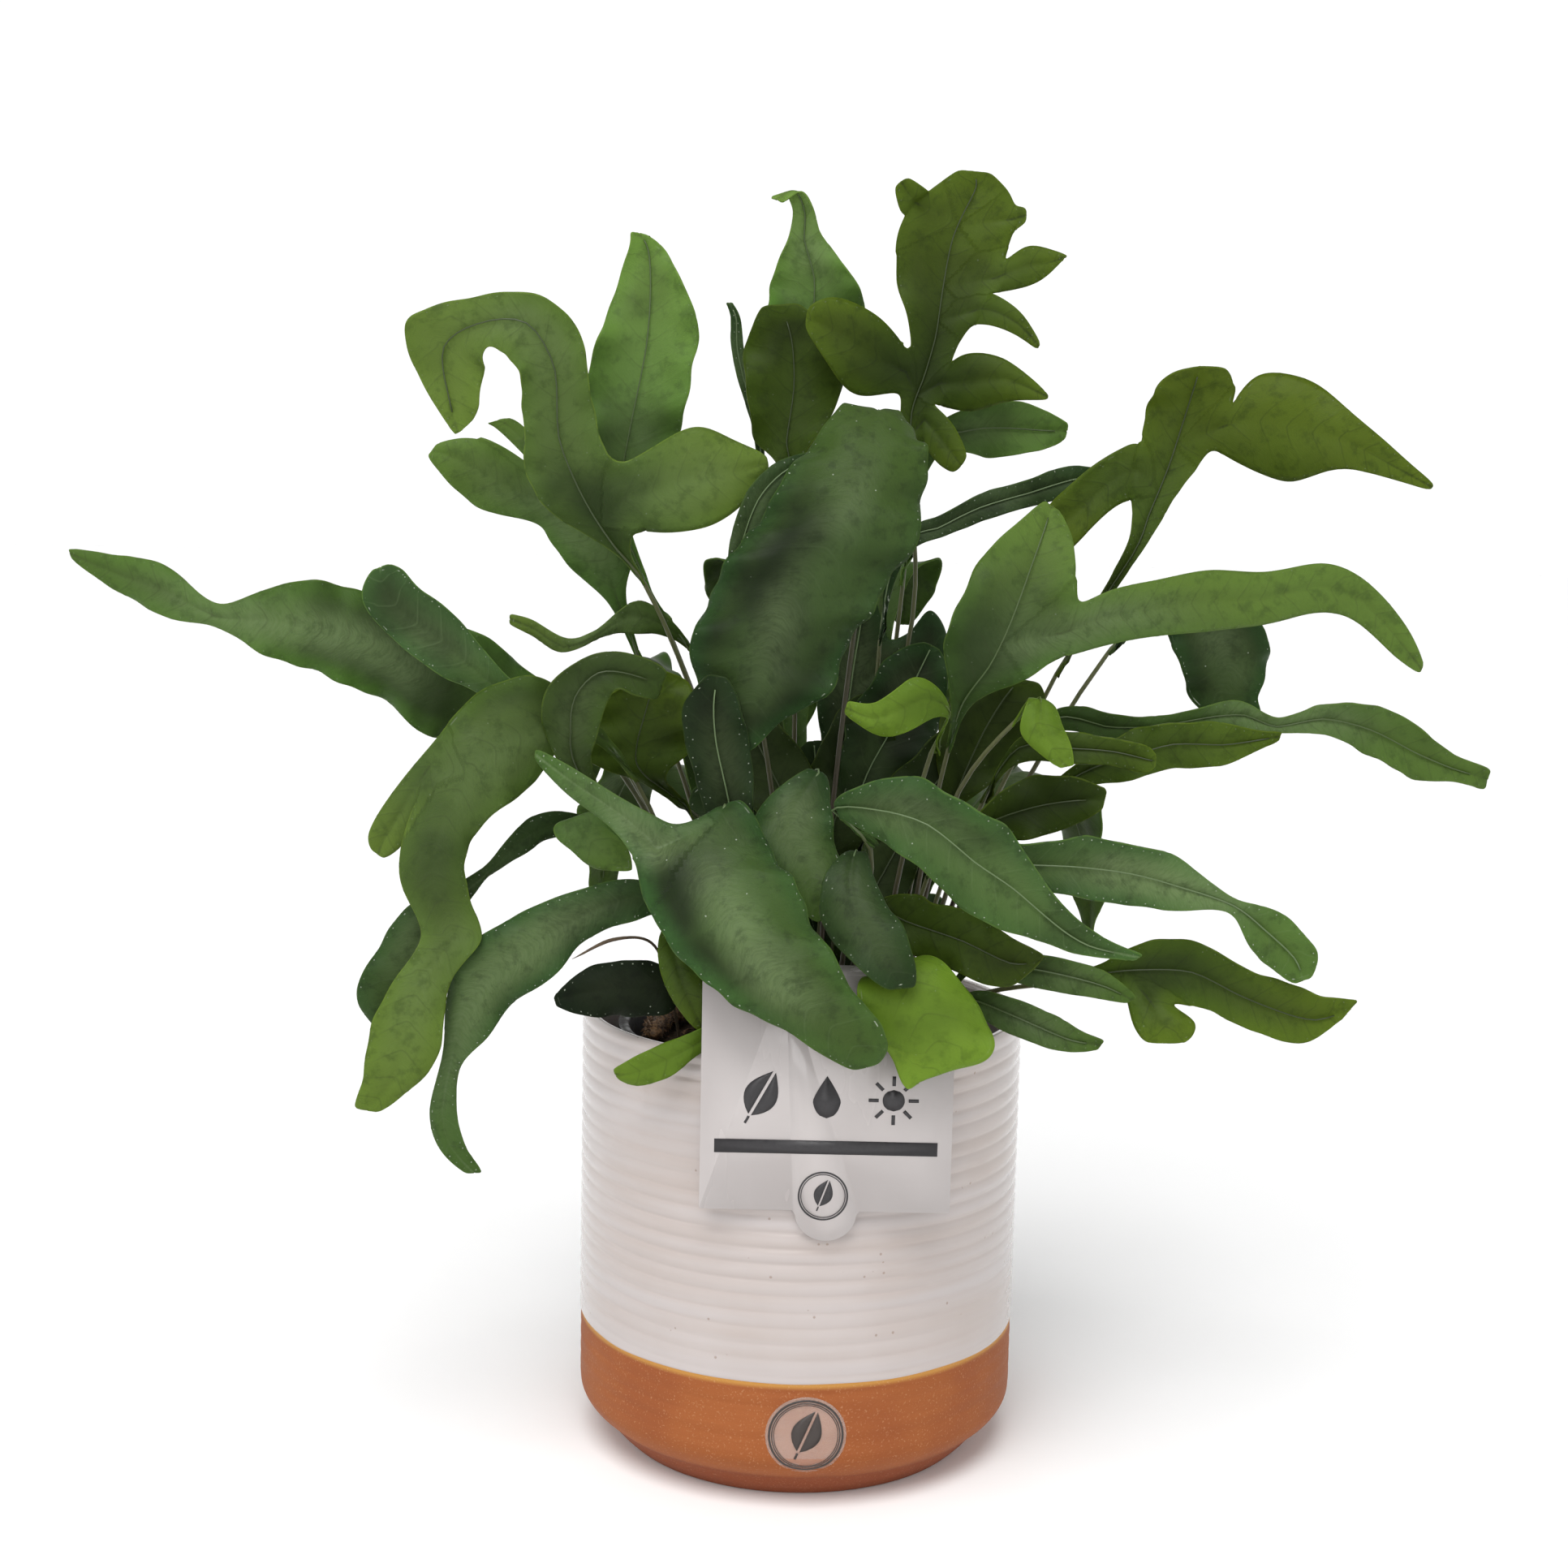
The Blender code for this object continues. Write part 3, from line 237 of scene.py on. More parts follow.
        "glaucous", 0.0, 0.6, [(-10, 32), (-12, 38, 220), (-16, 38, 300)],
        [(-20, 330, -17, 330, 37), (-25, 345, -21, 345, 37), (-28, 357, -24, 357, 37),
         (-28, 367, -25, 367, 36), (-30, 372, -28, 372, 35)]),
    "ribbon": (
        "glaucous", 0.0, 0.5, [(-2, -18), (-10, -24, 210), (-20, -32, 265)],
        [(-26, 284, -22, 284, -37), (-25, 297, -18, 297, -40), (-21, 311, -13, 308, -42),
         (-13, 320, -7, 315, -42), (-2, 324, -1, 321, -38)]),
    "centre": (
        "glaucous", -1.0, 0.6, [(4, -14), (8, -14, 210), (16, -12, 290), (19, -16, 328)],
        [(12, 337, 26, 337, -30), (0, 329, 32, 326, -42), (-12, 309, 31, 308, -48),
         (-22, 294, 26, 292, -51), (-32, 276, 14, 276, -52), (-35, 260, 6, 257, -52),
         (-31, 246, -6, 245, -51), (-22, 233, -18, 234, -50)]),
    "deep_centre": (
        "glaucous", 0.0, 0.45, [(2, 14), (4, 20, 190), (8, 24, 215)],
        [(6, 226, 12, 226, 26), (3, 238, 23, 238, 27), (4, 252, 26, 254, 28), (10, 266, 24, 268, 29),
         (16, 278, 20, 279, 29)],
        (2, "right", [(33, 243, 34, 264, 30), (41, 244, 40, 272, 32), (47, 250, 46, 266, 33)])),
    "deep_right": (
        "olive", 0.1, 0.6, [(28, 4), (34, 2, 180), (40, 0, 206)],
        [(44, 214, 50, 212, -3), (42, 226, 60, 220, -4), (43, 240, 70, 232, -4), (50, 250, 76, 244, -3),
         (62, 254, 74, 252, -2)]),
    "right_star": (
        "fresh", 0.8, 0.8, [(30, -12), (36, -22, 190), (43, -36, 234)],
        [(43, 249, 50, 251, -46), (41, 264, 66, 258, -50), (43, 278, 76, 272, -52), (52, 294, 78, 288, -50),
         (61, 304, 77, 300, -46), (69, 311, 74, 308, -42)],
        (2, "right", [(88, 269, 90, 285, -47), (104, 271, 104, 287, -40), (121, 272, 121, 290, -31),
         (140, 274, 141, 289, -23), (156, 278, 160, 293, -17), (171, 276, 176, 286, -13),
         (185, 264, 189, 272, -11), (194, 258, 195, 261, -10)])),
    "bright_curl": (
        "lime", 0.5, 0.8, [(22, -24), (28, -36, 190), (37, -47, 234)],
        [(42, 249, 42, 246, -55), (34, 258, 34, 246, -59), (27, 256, 25, 241, -61), (19, 250, 18, 242, -61),
         (11, 251, 10, 247, -60)]),
    "kite": (
        "lime", 0.4, 0.8, [(30, -22), (36, -32, 180), (46, -44, 222), (61, -52, 244)],
        [(66, 253, 71, 253, -57), (62, 244, 74, 246, -63), (67, 238, 77, 238, -66),
         (74, 233, 78, 234, -67)]),
    "right_high": (
        "olive", 0.8, 0.95, [(36, 18), (54, 11, 190), (80, 4, 254)],
        [(99, 292, 105, 294, -2), (102, 304, 112, 307, 0), (104, 320, 122, 322, 2), (106, 336, 128, 334, 2),
         (107, 347, 132, 346, -2), (113, 352, 128, 353, -6)],
        (2, "left", [(96, 309, 100, 328, 4), (84, 295, 86, 318, 6), (74, 287, 74, 306, 8)]),
        (3, "right", [(138, 323, 140, 351, 0), (151, 318, 155, 350, -4), (165, 323, 168, 339, -8),
         (180, 320, 183, 327, -10), (194, 316, 195, 318, -10)])),
    "thin_dark": (
        "glaucous", 0.0, 0.5, [(20, 8), (21, 14, 200), (23, 16, 262)],
        [(27, 296, 30, 291, 15), (40, 303, 42, 297, 17), (54, 311, 56, 303, 19), (70, 316, 72, 308, 21),
         (84, 321, 86, 312, 23), (97, 320, 98, 317, 23)]),
    "right_hanging": (
        "glaucous", 0.1, 0.65, [(40, 10), (62, 0, 200), (95, -6, 262)],
        [(112, 280, 124, 284, -6), (114, 270, 143, 272, -4), (121, 258, 147, 260, -3),
         (122, 249, 143, 250, -2), (130, 242, 146, 241, -2)]),
    "far_right": (
        "fresh", 0.5, 0.75, [(42, 2), (52, -12, 190), (64, -19, 226)],
        [(76, 246, 78, 240, -23), (92, 245, 94, 236, -22), (108, 243, 110, 238, -20),
         (124, 247, 126, 240, -19), (137, 249, 138, 240, -18), (148, 243, 148, 239, -17),
         (162, 248, 164, 239, -15), (178, 248, 180, 232, -13), (193, 242, 192, 225, -11),
         (206, 232, 206, 224, -10), (219, 228, 218, 221, -8)]),
    "right_olive": (
        "olive", 0.3, 1.0, [(36, -8), (50, -20, 180), (66, -27, 210)],
        [(84, 230, 86, 223, -30), (98, 239, 100, 225, -32), (112, 243, 114, 230, -32),
         (127, 243, 129, 230, -31), (139, 241, 139, 235, -30), (147, 241, 146, 238, -30)]),
    "right_blunt": (
        "olive", 0.2, 1.0, [(34, -20), (42, -30, 180), (54, -38, 218)],
        [(64, 240, 64, 232, -44), (78, 241, 78, 232, -47), (92, 240, 92, 232, -49),
         (102, 238, 102, 230, -50), (105, 235, 105, 232, -50)]),
    "right_dark": (
        "olive", 0.0, 0.8, [(32, -30), (38, -38, 175), (43, -43, 196)],
        [(50, 214, 52, 206, -46), (64, 226, 66, 209, -50), (78, 229, 78, 213, -53),
         (90, 225, 89, 219, -54)]),
    "left_pale": (
        "fresh", 0.5, 0.8, [(-32, -14), (-38, -30, 172), (-50, -44, 202)],
        [(-64, 214, -58, 217, -50), (-77, 210, -60, 211, -52), (-71, 203, -55, 204, -53),
         (-65, 197, -53, 197, -53)]),
    "left_curl": (
        "moss", 0.6, 1.1, [(-12, -2), (-17, -9, 190), (-30, -10, 245), (-38, -10, 261)],
        [(-46, 272, -47, 266, -14), (-56, 277, -60, 267, -18), (-66, 268, -68, 264, -21),
         (-76, 264, -78, 260, -23), (-86, 270, -86, 265, -24), (-94, 272, -94, 269, -24)]),
}

# ---- small leaves deep in the bush: tip x, y, z, blade length, lean ----
INNER_LEAVES = (
    (22, 8, 246, 48, 0.3), (40, 12, 262, 52, 0.45), (58, 4, 238, 44, 0.7),
    (2, 10, 230, 46, -0.1), (-22, 6, 240, 44, -0.5), (14, 20, 212, 40, 0.15),
    (34, -4, 206, 38, 0.5), (-6, 22, 206, 42, -0.3), (50, 14, 204, 40, 0.9),
    (-36, 12, 214, 42, -0.7), (24, 16, 186, 34, 0.2), (44, -8, 182, 30, 0.8),
    (-18, 18, 184, 34, -0.4), (4, 12, 184, 30, 0.0),
)


# ---- leaf finishes: flesh, deep (darker tone and painted shade), bloom along the rib (with painted sheen), rib line, margin, young (also a painted edge highlight), how much bloom and sheen ----
LEAF_FINISHES = {
    "glaucous": ((0.05, 0.092, 0.023), (0.015, 0.026, 0.008), (0.143, 0.204, 0.085),
                 (0.143, 0.201, 0.095), (0.032, 0.084, 0.02), (0.092, 0.167, 0.029), 0.75),
    "fresh": ((0.066, 0.125, 0.026), (0.029, 0.051, 0.014), (0.139, 0.201, 0.082),
              (0.042, 0.054, 0.02), (0.059, 0.132, 0.019), (0.122, 0.201, 0.034), 0.7),
    "olive": ((0.035, 0.062, 0.005), (0.014, 0.025, 0.003), (0.063, 0.096, 0.024),
              (0.01, 0.014, 0.005), (0.042, 0.076, 0.005), (0.082, 0.122, 0.009), 0.3),
    "moss": ((0.047, 0.076, 0.018), (0.017, 0.03, 0.007), (0.092, 0.132, 0.054),
             (0.025, 0.035, 0.012), (0.044, 0.082, 0.012), (0.097, 0.147, 0.019), 0.5),
    "lime": ((0.102, 0.176, 0.015), (0.05, 0.09, 0.008), (0.134, 0.211, 0.034),
             (0.034, 0.047, 0.01), (0.105, 0.196, 0.014), (0.168, 0.274, 0.027), 0.3),
}
LEAF_SLOTS = {"moss": "leaf_olive"}


# ---- settings a user would change ----
def length_setting(label, about, millimetres):
    """A size that the sidebar shows."""
    return FloatProperty(name=label, description=about, default=millimetres * MM, unit="LENGTH")


def number_setting(label, about, value, **kind):
    """A plain number that the sidebar shows."""
    return FloatProperty(name=label, description=about, default=value, **kind)


def colour_setting(label, about, value):
    """A colour that the sidebar shows."""
    return FloatVectorProperty(name=label, description=about, subtype="COLOR", default=value)


class FernPotSettings(bpy.types.PropertyGroup):
    """Sizes and colours of the cover pot."""
    rib_pitch: length_setting("Rib pitch", "Height of one throwing rib", 5.0)
    rib_depth: length_setting("Rib depth", "How far a throwing rib stands out", 0.7)
    glaze_line: length_setting("Glaze line", "Height where the glaze ends and bare clay begins", 42.0)
    glaze_colour: colour_setting("Glaze", "Colour of the glaze", (0.47, 0.425, 0.415))
    clay_colour: colour_setting("Clay", "Colour of the bare clay", (0.28, 0.083, 0.023))
    foot_colour: colour_setting("Foot", "Colour of the clay under the shoulder", (0.225, 0.058, 0.021))


class FernLeafSettings(bpy.types.PropertyGroup):
    """Thickness, waviness and smoothness of the fronds."""
    thickness: length_setting("Thickness", "Thickness of a leaf blade", 0.55)
    wave: length_setting("Wave", "How far the margins wave to and fro", 3.0)
    scallop: length_setting("Scallop", "How far the margins run in and out", 0.35)
    smoothness: IntProperty(name="Smoothness", description="Subdivision levels of a large blade", default=3,
                            min=1, max=4)
    stalk_radius: length_setting("Stalk radius", "Radius of a stalk at the soil", 0.95)


class FernStageSettings(bpy.types.PropertyGroup):
    """Studio floor, lights and camera."""
    sun_strength: number_setting("Overhead light", "Strength of the broad soft light from above", 2.05)
    key_power: number_setting("Key light", "Power of the soft light in front", 4.0, unit="POWER")
    horizon: number_setting("Surroundings", "Brightness of the white wall all round", 1.05)
    zenith: number_setting("Ceiling", "Brightness of the ceiling", 0.22)
    floor_colour: colour_setting("Floor", "Colour of the studio floor", (0.97, 0.97, 0.97))
    camera_place: FloatVectorProperty(name="Camera place", description="Where the camera stands",
                                      subtype="TRANSLATION", unit="LENGTH",
                                      default=(-0.0075, -0.757, 0.326))
    camera_tilt: number_setting("Camera tilt", "How far the camera looks down", math.radians(8.2),
                                subtype="ANGLE")
    camera_roll: number_setting("Camera roll", "How far the camera is turned about its view",
                                math.radians(1.2), subtype="ANGLE")
    lens: number_setting("Lens", "Focal length", 54.04, subtype="DISTANCE_CAMERA")


# ---- general helpers ----
def seed_of(name):
    """A whole number that is always the same for a name."""
    return zlib.crc32(name.encode())


def blend(controls, steps):
    """Smooth curve through the control values, with `steps` pieces between each two."""
    values = np.array(controls, dtype=float)
    padded = np.vstack([2 * values[0] - values[1], values, 2 * values[-1] - values[-2]])
    curve = []
    for i in range(1, len(padded) - 2):
        before, start, end, after = padded[i - 1:i + 3]
        for step in range(steps):
            t = step / steps
            curve.append(0.5 * (2 * start + (end - before) * t
                                + (2 * before - 5 * start + 4 * end - after) * t ** 2
                                + (3 * start - before - 3 * end + after) * t ** 3))
    curve.append(values[-1])
    return curve


def smooth(values, low, high):
    """0 below low, 1 above high, and a smooth rise between (a fall if low > high)."""
    share = np.clip((np.asarray(values, dtype=float) - low) / (high - low), 0, 1)
    return share * share * (3 - 2 * share)


def linked(name, data):
    """A new object of the scene that holds the data."""
    thing = bpy.data.objects.new(name, data)
    bpy.context.scene.collection.objects.link(thing)
    return thing


def mesh_object(name, bm, materials, angle=None, face_outward=True):
    """Turns a bmesh into an object of the scene, shaded smooth up to an angle in degrees."""
    if face_outward:
        bmesh.ops.recalc_face_normals(bm, faces=bm.faces)
    mesh = bpy.data.meshes.new(name)
    bm.to_mesh(mesh)
    bm.free()
    mesh.shade_smooth()
    if angle is not None:
        mesh.set_sharp_from_angle(angle=math.radians(angle))
    for material in materials:
        mesh.materials.append(material)
    return linked(name, mesh)


def thicken(piece, name, thickness):
    """Gives a sheet its thickness, half of it to each side."""
    modifier = piece.modifiers.new(name, "SOLIDIFY")
    modifier.thickness = thickness
    modifier.offset = 0


def applied(thing):
    """The object's mesh with its modifiers applied; the object itself goes."""
    graph = bpy.context.evaluated_depsgraph_get()
    mesh = bpy.data.meshes.new_from_object(thing.evaluated_get(graph))
    bpy.data.objects.remove(thing, do_unlink=True)
    return mesh


def stand_for(piece, slot, *nodes):
    """The piece joins the root body and takes the place of CAD nodes, which are hidden."""
    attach(piece, "root")
    if nodes:
        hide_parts(*nodes)


def join_rings(bm, near, far, material=0):
    """Faces from one ring of points to the next; a ring of a single point makes a tip."""
    count = max(len(near), len(far))
    for step in range(count):
        after = (step + 1) % count
        corners = (near[step % len(near)], near[after % len(near)], far[after % len(far)],
                   far[step % len(far)])
        bm.faces.new(list(dict.fromkeys(corners))).material_index = material


def add_tube(bm, points, radii, sides=8, material=0, squash=1.0):
    """A round strand through points (mm), closed at both ends; returns its rings."""
    points = [Vector(point) for point in points]
    side = None
    rings = []
    for i, point in enumerate(points):
        along = (points[min(i + 1, len(points) - 1)] - points[max(i - 1, 0)]).normalized()
        if side is None:
            side = along.orthogonal().normalized()
        side = (side - along * side.dot(along)).normalized()
        other = along.cross(side)
        ring = []
        for corner in range(sides):
            angle = 2 * math.pi * corner / sides
            offset = side * math.cos(angle) + other * math.sin(angle) * squash
            ring.append(bm.verts.new((point + offset * radii[i]) * MM))
        rings.append(ring)
    for near, far in zip(rings, rings[1:]):
        join_rings(bm, near, far, material)
    for end in (rings[0][::-1], rings[-1]):
        bm.faces.new(end).material_index = material
    return rings


def add_lathe(bm, profile, turns=192, wobble=None):
    """Turns (radius, height) points round the Z axis; a radius of 0 closes the end.

    wobble(angle, radius, height) may return a changed (radius, height).
    """
    rings = []
    for radius, height in profile:
        if radius == 0:
            rings.append([bm.verts.new((0, 0, height * MM))])
            continue
        ring = []
        for step in range(turns):
            angle = 2 * math.pi * step / turns
            r, z = wobble(angle, radius, height) if wobble else (radius, height)
            ring.append(bm.verts.new((r * MM * math.sin(angle), -r * MM * math.cos(angle), z * MM)))
        rings.append(ring)
    for near, far in zip(rings, rings[1:]):
        join_rings(bm, near, far)


# ---- material recipes ----
class Recipe:
    """A material under construction. Each helper adds one node and returns its output."""

    def __init__(self, name, **sockets):
        self.material = bpy.data.materials.new(name)
        self.material.use_nodes = True
        self.tree = self.material.node_tree
        self.shader = self.tree.nodes["Principled BSDF"]
        for socket, value in sockets.items():
            self.shader.inputs[socket.replace("_", " ").title()
                               .replace("Ior", "IOR")].default_value = value

    def add(self, kind, inputs, output=0, **settings):
        node = self.tree.nodes.new(kind)
        for setting, value in settings.items():
            setattr(node, setting, value)
        for key, value in inputs.items():
            if isinstance(value, bpy.types.NodeSocket):
                self.tree.links.new(value, node.inputs[key])
            elif value is not None:
                node.inputs[key].default_value = value
        return node.outputs[output]

    def attribute(self, name):
        return self.add("ShaderNodeAttribute", {}, "Fac", attribute_name=name)

    def place(self):
        return self.add("ShaderNodeTexCoord", {}, "Object")

    def height(self):
        return self.add("ShaderNodeSeparateXYZ", {0: self.place()}, 2)

    def vector(self, x, y, z=0.0):
        return self.add("ShaderNodeCombineXYZ", {0: x, 1: y, 2: z})

    def stretch(self, vector, scale, shift=(0.0, 0.0, 0.0)):
        return self.add("ShaderNodeMapping", {0: vector, "Location": shift, "Scale": scale})

    def sums(self, operation, first, second=0.0):
        return self.add("ShaderNodeMath", {0: first, 1: second}, operation=operation)

    times = partialmethod(sums, "MULTIPLY")
    plus = partialmethod(sums, "ADD")
    minus = partialmethod(sums, "SUBTRACT")

    def noise(self, vector, scale, detail=2.0, roughness=0.5):
        return self.add("ShaderNodeTexNoise",
                        {"Vector": vector, "Scale": scale, "Detail": detail, "Roughness": roughness})

    def cells(self, vector, scale, output="Distance"):
        return self.add("ShaderNodeTexVoronoi", {"Vector": vector, "Scale": scale}, output)

    def rise(self, value, low, high, start=0.0, end=1.0):
        return self.add("ShaderNodeMapRange", {0: value, 1: low, 2: high, 3: start, 4: end},
                        interpolation_type="SMOOTHSTEP")

    def mix(self, share, first, second, mode="MIX"):
        colours = [colour if isinstance(colour, bpy.types.NodeSocket) else (*colour, 1.0)
                   for colour in (first, second)]
        return self.add("ShaderNodeMix", {0: share, 6: colours[0], 7: colours[1]}, 2, data_type="RGBA",
                        blend_type=mode)

    def bump(self, height, distance, strength=1.0, normal=None):
        return self.add("ShaderNodeBump",
                        {"Height": height, "Distance": distance, "Strength": strength, "Normal": normal})

    def finish(self, colour=None, roughness=None, normal=None):
        for key, value in (("Base Color", colour), ("Roughness", roughness), ("Normal", normal)):
            if value is not None:
                self.tree.links.new(value, self.shader.inputs[key])
        return self.material


# ---- fronds ----
def edge_pair(row):
    """A table row (left x, left z, right x, right z, y) as its two edge points, let out a bit."""
    left_x, left_z, right_x, right_z, y = row
    extra_x = (right_x - left_x) * (BLADE_FULLNESS - 1) / 2
    extra_z = (right_z - left_z) * (BLADE_FULLNESS - 1) / 2
    return np.array([left_x - extra_x, y, left_z - extra_z, right_x + extra_x, y, right_z + extra_z],
                    dtype=float)


def frond_rows(stem, blade):
    """Edge points of the stalk's strip and of the blade for a frond of the table."""
    rows = [edge_pair(row) for row in blade]
    across = rows[0][3:] - rows[0][:3]
    half_stem = across / norm(across) * HALF_STALK
    places = [(*stem[0], STALK_START), *stem[1:]]
    stem_rows = [np.concatenate([place - half_stem, place + half_stem])
                 for place in np.array(places, dtype=float)]
    return stem_rows, rows


def back_rows(index):
    """Edge points for one of the plain strap fronds that arch away behind the rest."""
    azimuth = math.radians(38 + index * 15)
    ring = index % 3
    reach, top, droop = (124, 98, 76)[ring], (214, 252, 286)[ring], (62, 48, 22)[ring]
    foot = 36 + 4 * ring
    spread = reach - foot
    out = np.array([math.cos(azimuth), math.sin(azimuth), 0.0])
    across = np.array([out[1], -out[0], 0.0])
    spine = [(foot, STALK_START), (foot + 4, 0.6 * STALK_START + 0.4 * top),
             (foot + 0.35 * spread, top - 12), (foot + 0.62 * spread, top),
             (foot + 0.86 * spread, top - 0.16 * droop), (reach, top - 0.55 * droop),
             (reach + 3, top - droop)]
    rows = []
    for (distance, height), half in zip(spine, (HALF_STALK, HALF_STALK, 5, 15, 16, 11, 2)):
        centre = out * distance + np.array([4, 0, height])
        rows.append(np.concatenate([centre + across * half, centre - across * half]))
    return rows[:2], rows[2:]


def inner_rows(x, y, z, length, lean):
    """Edge points for a small leaf deep in the bush, painted dark as shade, with its tip at (x, y, z)."""
    along = np.array([math.sin(lean), 0.25, math.cos(lean)])
    across = np.array([math.cos(lean), 0.0, -math.sin(lean)])
    tip = np.array([x, y, z], dtype=float)
    base = tip - along * length
    foot = np.array([0.35 * base[0], 0.35 * base[1] + 2.0, STALK_START])
    spine = [(foot, HALF_STALK), ((foot + base) / 2 + (0, 2, 8), HALF_STALK), (base, 0.2 * length)]
    spine += [(base + along * length * share, length * half)
              for share, half in ((0.35, 0.27), (0.7, 0.25), (0.92, 0.15), (1.0, 0.05))]
    rows = [np.concatenate([centre - across * half, centre + across * half]) for centre, half in spine]
    return rows[:2], rows[2:]


def middles_of(rows):
    """The points halfway between the two edges."""
    return [(row[:3] + row[3:]) / 2 for row in rows]


def add_cage(bm, rows, shares, flow_of, root=None):
    """A strip of the coarse sheet, with one vertex for each of `shares` across a row."""
    flow = bm.verts.layers.float["flow"]
    side = bm.verts.layers.float["side"]
    middles = middles_of(rows)
    strip = [root] if root else []
    for i, row in enumerate(rows):
        if root and i == 0:
            continue
        along = middles[min(i + 1, len(rows) - 1)] - middles[max(i - 1, 0)]
        across = row[3:] - row[:3]
        width = norm(across)
        normal = np.cross(along, across)
        normal /= max(norm(normal), 1e-6)
        line = []
        for share in shares:
            fold = 0.07 * width * (1 - abs(2 * share - 1) ** 1.6)
            vertex = bm.verts.new(Vector(row[:3] + across * share + normal * fold))
            vertex[flow] = flow_of(i, share)
            vertex[side] = 2 * share - 1
            line.append(vertex)
        strip.append(line)
    for near, far in zip(strip, strip[1:]):
        for k in range(len(far) - 1):
            bm.faces.new((near[k], near[k + 1], far[k + 1], far[k]))
    return strip


def frond_sheet(stem_rows, blade_rows, lobes):
    """The frond's coarse sheet (a bmesh in mm), its ribs, and its stalk's line."""
    curve = blend(stem_rows + blade_rows, ROW_STEPS)
    start = (len(stem_rows) - 1) * ROW_STEPS
    rows = curve[start:]
    middles = middles_of(rows)
    lengths = np.concatenate([[0], np.cumsum([norm(b - a) for a, b in zip(middles, middles[1:])])])
    bm = bmesh.new()
    flow = bm.verts.layers.float.new("flow")
    bm.verts.layers.float.new("side")
    strip = add_cage(bm, rows, (0, 0.25, 0.5, 0.75, 1), lambda i, share: lengths[i])
    ribs = [middles[1:]]
    for row, side, lobe_rows in lobes:
        index = (len(stem_rows) + row) * ROW_STEPS - start
        column = 0 if side == "left" else 4
        root = [strip[index + offset][column] for offset in (-1, 0, 1)]
        first = np.concatenate([np.array(root[0].co), np.array(root[2].co)])
        controls = [first] + [edge_pair(lobe_row) for lobe_row in lobe_rows]
        lobe_curve = blend(controls, ROW_STEPS)
        across = norm(first[3:] - first[:3])
        out = middles_of(lobe_curve)
        flows = [root[1][flow] + 0.4 * norm(point - out[0]) for point in out]
        add_cage(bm, lobe_curve, (0, 0.5, 1), lambda i, share: flows[i] + (share - 0.5) * across, root)
        ribs.append([middles[max(index - 1, 0)], *out])
    return bm, ribs, curve[:start] + rows


def nearest_on(line, points):
    """For each point its distance to a line, how far along the line, and that place."""
    line = np.array(line)
    starts, ends = line[:-1], line[1:]
    spans = ends - starts
    lengths = norm(spans, axis=1)
    offsets = points[:, None, :] - starts[None]
    shares = np.clip((offsets * spans).sum(2) / np.maximum(lengths ** 2, 1e-9), 0, 1)
    gaps = norm(offsets - shares[..., None] * spans, axis=2)
    nearest = gaps.argmin(axis=1)
    index = np.arange(len(points))
    reached = np.concatenate([[0], np.cumsum(lengths)])[nearest]
    share = shares[index, nearest]
    place = starts[nearest] + share[:, None] * spans[nearest]
    return gaps[index, nearest], reached + share * lengths[nearest], place


def smoothed(name, bm, levels):
    """The coarse sheet subdivided, as a mesh of its own that keeps its attributes."""
    cage = mesh_object(name, bm, [])
    rounding = cage.modifiers.new("rounding", "SUBSURF")
    rounding.levels = levels
    rounding.render_levels = levels
    return applied(cage)


def read_floats(mesh, name):
    """One of the mesh's attributes, a value for each vertex."""
    values = np.zeros(len(mesh.vertices))
    mesh.attributes[name].data.foreach_get("value", values)
    return values


def read_vectors(collection, key):
    """One vector for each item."""
    values = np.zeros(len(collection) * 3)
    collection.foreach_get(key, values)
    return values.reshape(-1, 3)


def write_floats(mesh, name, values):
    """Adds an attribute, a value for each vertex."""
    layer = mesh.attributes.new(name, "FLOAT", "POINT")
    layer.data.foreach_set("value", np.asarray(values, dtype=np.float32))


